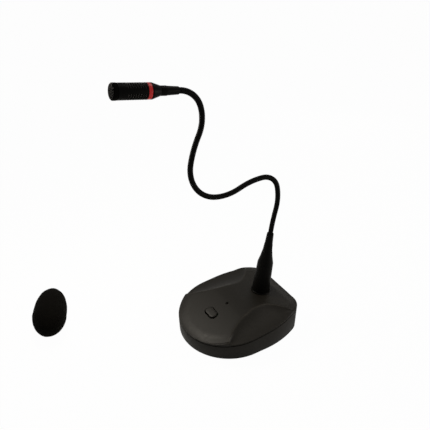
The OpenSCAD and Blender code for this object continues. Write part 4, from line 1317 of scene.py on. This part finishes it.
class MICROPHONE_OT_mast(bpy.types.Operator):
    """Build the mast from its bezel to the ferrule"""

    bl_idname = "microphone.mast"
    bl_label = "Mast"
    bl_options = {"REGISTER", "UNDO"}

    def execute(self, context):
        build_mast()
        return {"FINISHED"}


class MICROPHONE_OT_neck(bpy.types.Operator):
    """Build the wound gooseneck"""

    bl_idname = "microphone.neck"
    bl_label = "Gooseneck"
    bl_options = {"REGISTER", "UNDO"}

    def execute(self, context):
        build_neck()
        return {"FINISHED"}


class MICROPHONE_OT_head(bpy.types.Operator):
    """Build the head with its light ring, slots and grille"""

    bl_idname = "microphone.head"
    bl_label = "Head"
    bl_options = {"REGISTER", "UNDO"}

    def execute(self, context):
        build_head()
        return {"FINISHED"}


class MICROPHONE_OT_windscreen(bpy.types.Operator):
    """Build the foam windscreen"""

    bl_idname = "microphone.windscreen"
    bl_label = "Windscreen"
    bl_options = {"REGISTER", "UNDO"}

    def execute(self, context):
        build_windscreen()
        return {"FINISHED"}


class MICROPHONE_OT_fittings(bpy.types.Operator):
    """Give the pad, the light, the inlet and the inner parts their finishes"""

    bl_idname = "microphone.fittings"
    bl_label = "Fittings"
    bl_options = {"REGISTER", "UNDO"}

    def execute(self, context):
        dress_fittings()
        return {"FINISHED"}


class MICROPHONE_OT_stage(bpy.types.Operator):
    """Build the floor, the lights and the camera"""

    bl_idname = "microphone.stage"
    bl_label = "Stage"
    bl_options = {"REGISTER", "UNDO"}

    def execute(self, context):
        build_floor()
        build_surround()
        build_lights()
        build_camera()
        return {"FINISHED"}


class MICROPHONE_PT_panel(bpy.types.Panel):
    """The building steps of the microphone"""

    bl_idname = "MICROPHONE_PT_panel"
    bl_label = "Microphone"
    bl_space_type = "VIEW_3D"
    bl_region_type = "UI"
    bl_category = "Microphone"

    def draw(self, context):
        for step in STEPS:
            self.layout.operator(step.bl_idname)


STEPS = (
    MICROPHONE_OT_base,
    MICROPHONE_OT_button,
    MICROPHONE_OT_mast,
    MICROPHONE_OT_neck,
    MICROPHONE_OT_head,
    MICROPHONE_OT_windscreen,
    MICROPHONE_OT_fittings,
    MICROPHONE_OT_stage,
)
GROUPS = (BaseSizes, MastSizes, NeckSizes, HeadSizes, FoamSizes, Finishes, MicrophoneSettings)


def register():
    """Registers the settings, the steps and the panel."""
    for kind in GROUPS + STEPS + (MICROPHONE_PT_panel,):
        bpy.utils.register_class(kind)
    bpy.types.Scene.microphone = bpy.props.PointerProperty(type=MicrophoneSettings)


def unregister():
    """Takes the settings, the steps and the panel away again."""
    del bpy.types.Scene.microphone
    for kind in reversed(GROUPS + STEPS + (MICROPHONE_PT_panel,)):
        bpy.utils.unregister_class(kind)


def main():
    """Builds everything in order."""
    register()
    bpy.ops.microphone.base()
    bpy.ops.microphone.button()
    bpy.ops.microphone.mast()
    bpy.ops.microphone.neck()
    bpy.ops.microphone.head()
    bpy.ops.microphone.windscreen()
    bpy.ops.microphone.fittings()
    bpy.ops.microphone.stage()


if __name__ == "__main__":
    main()
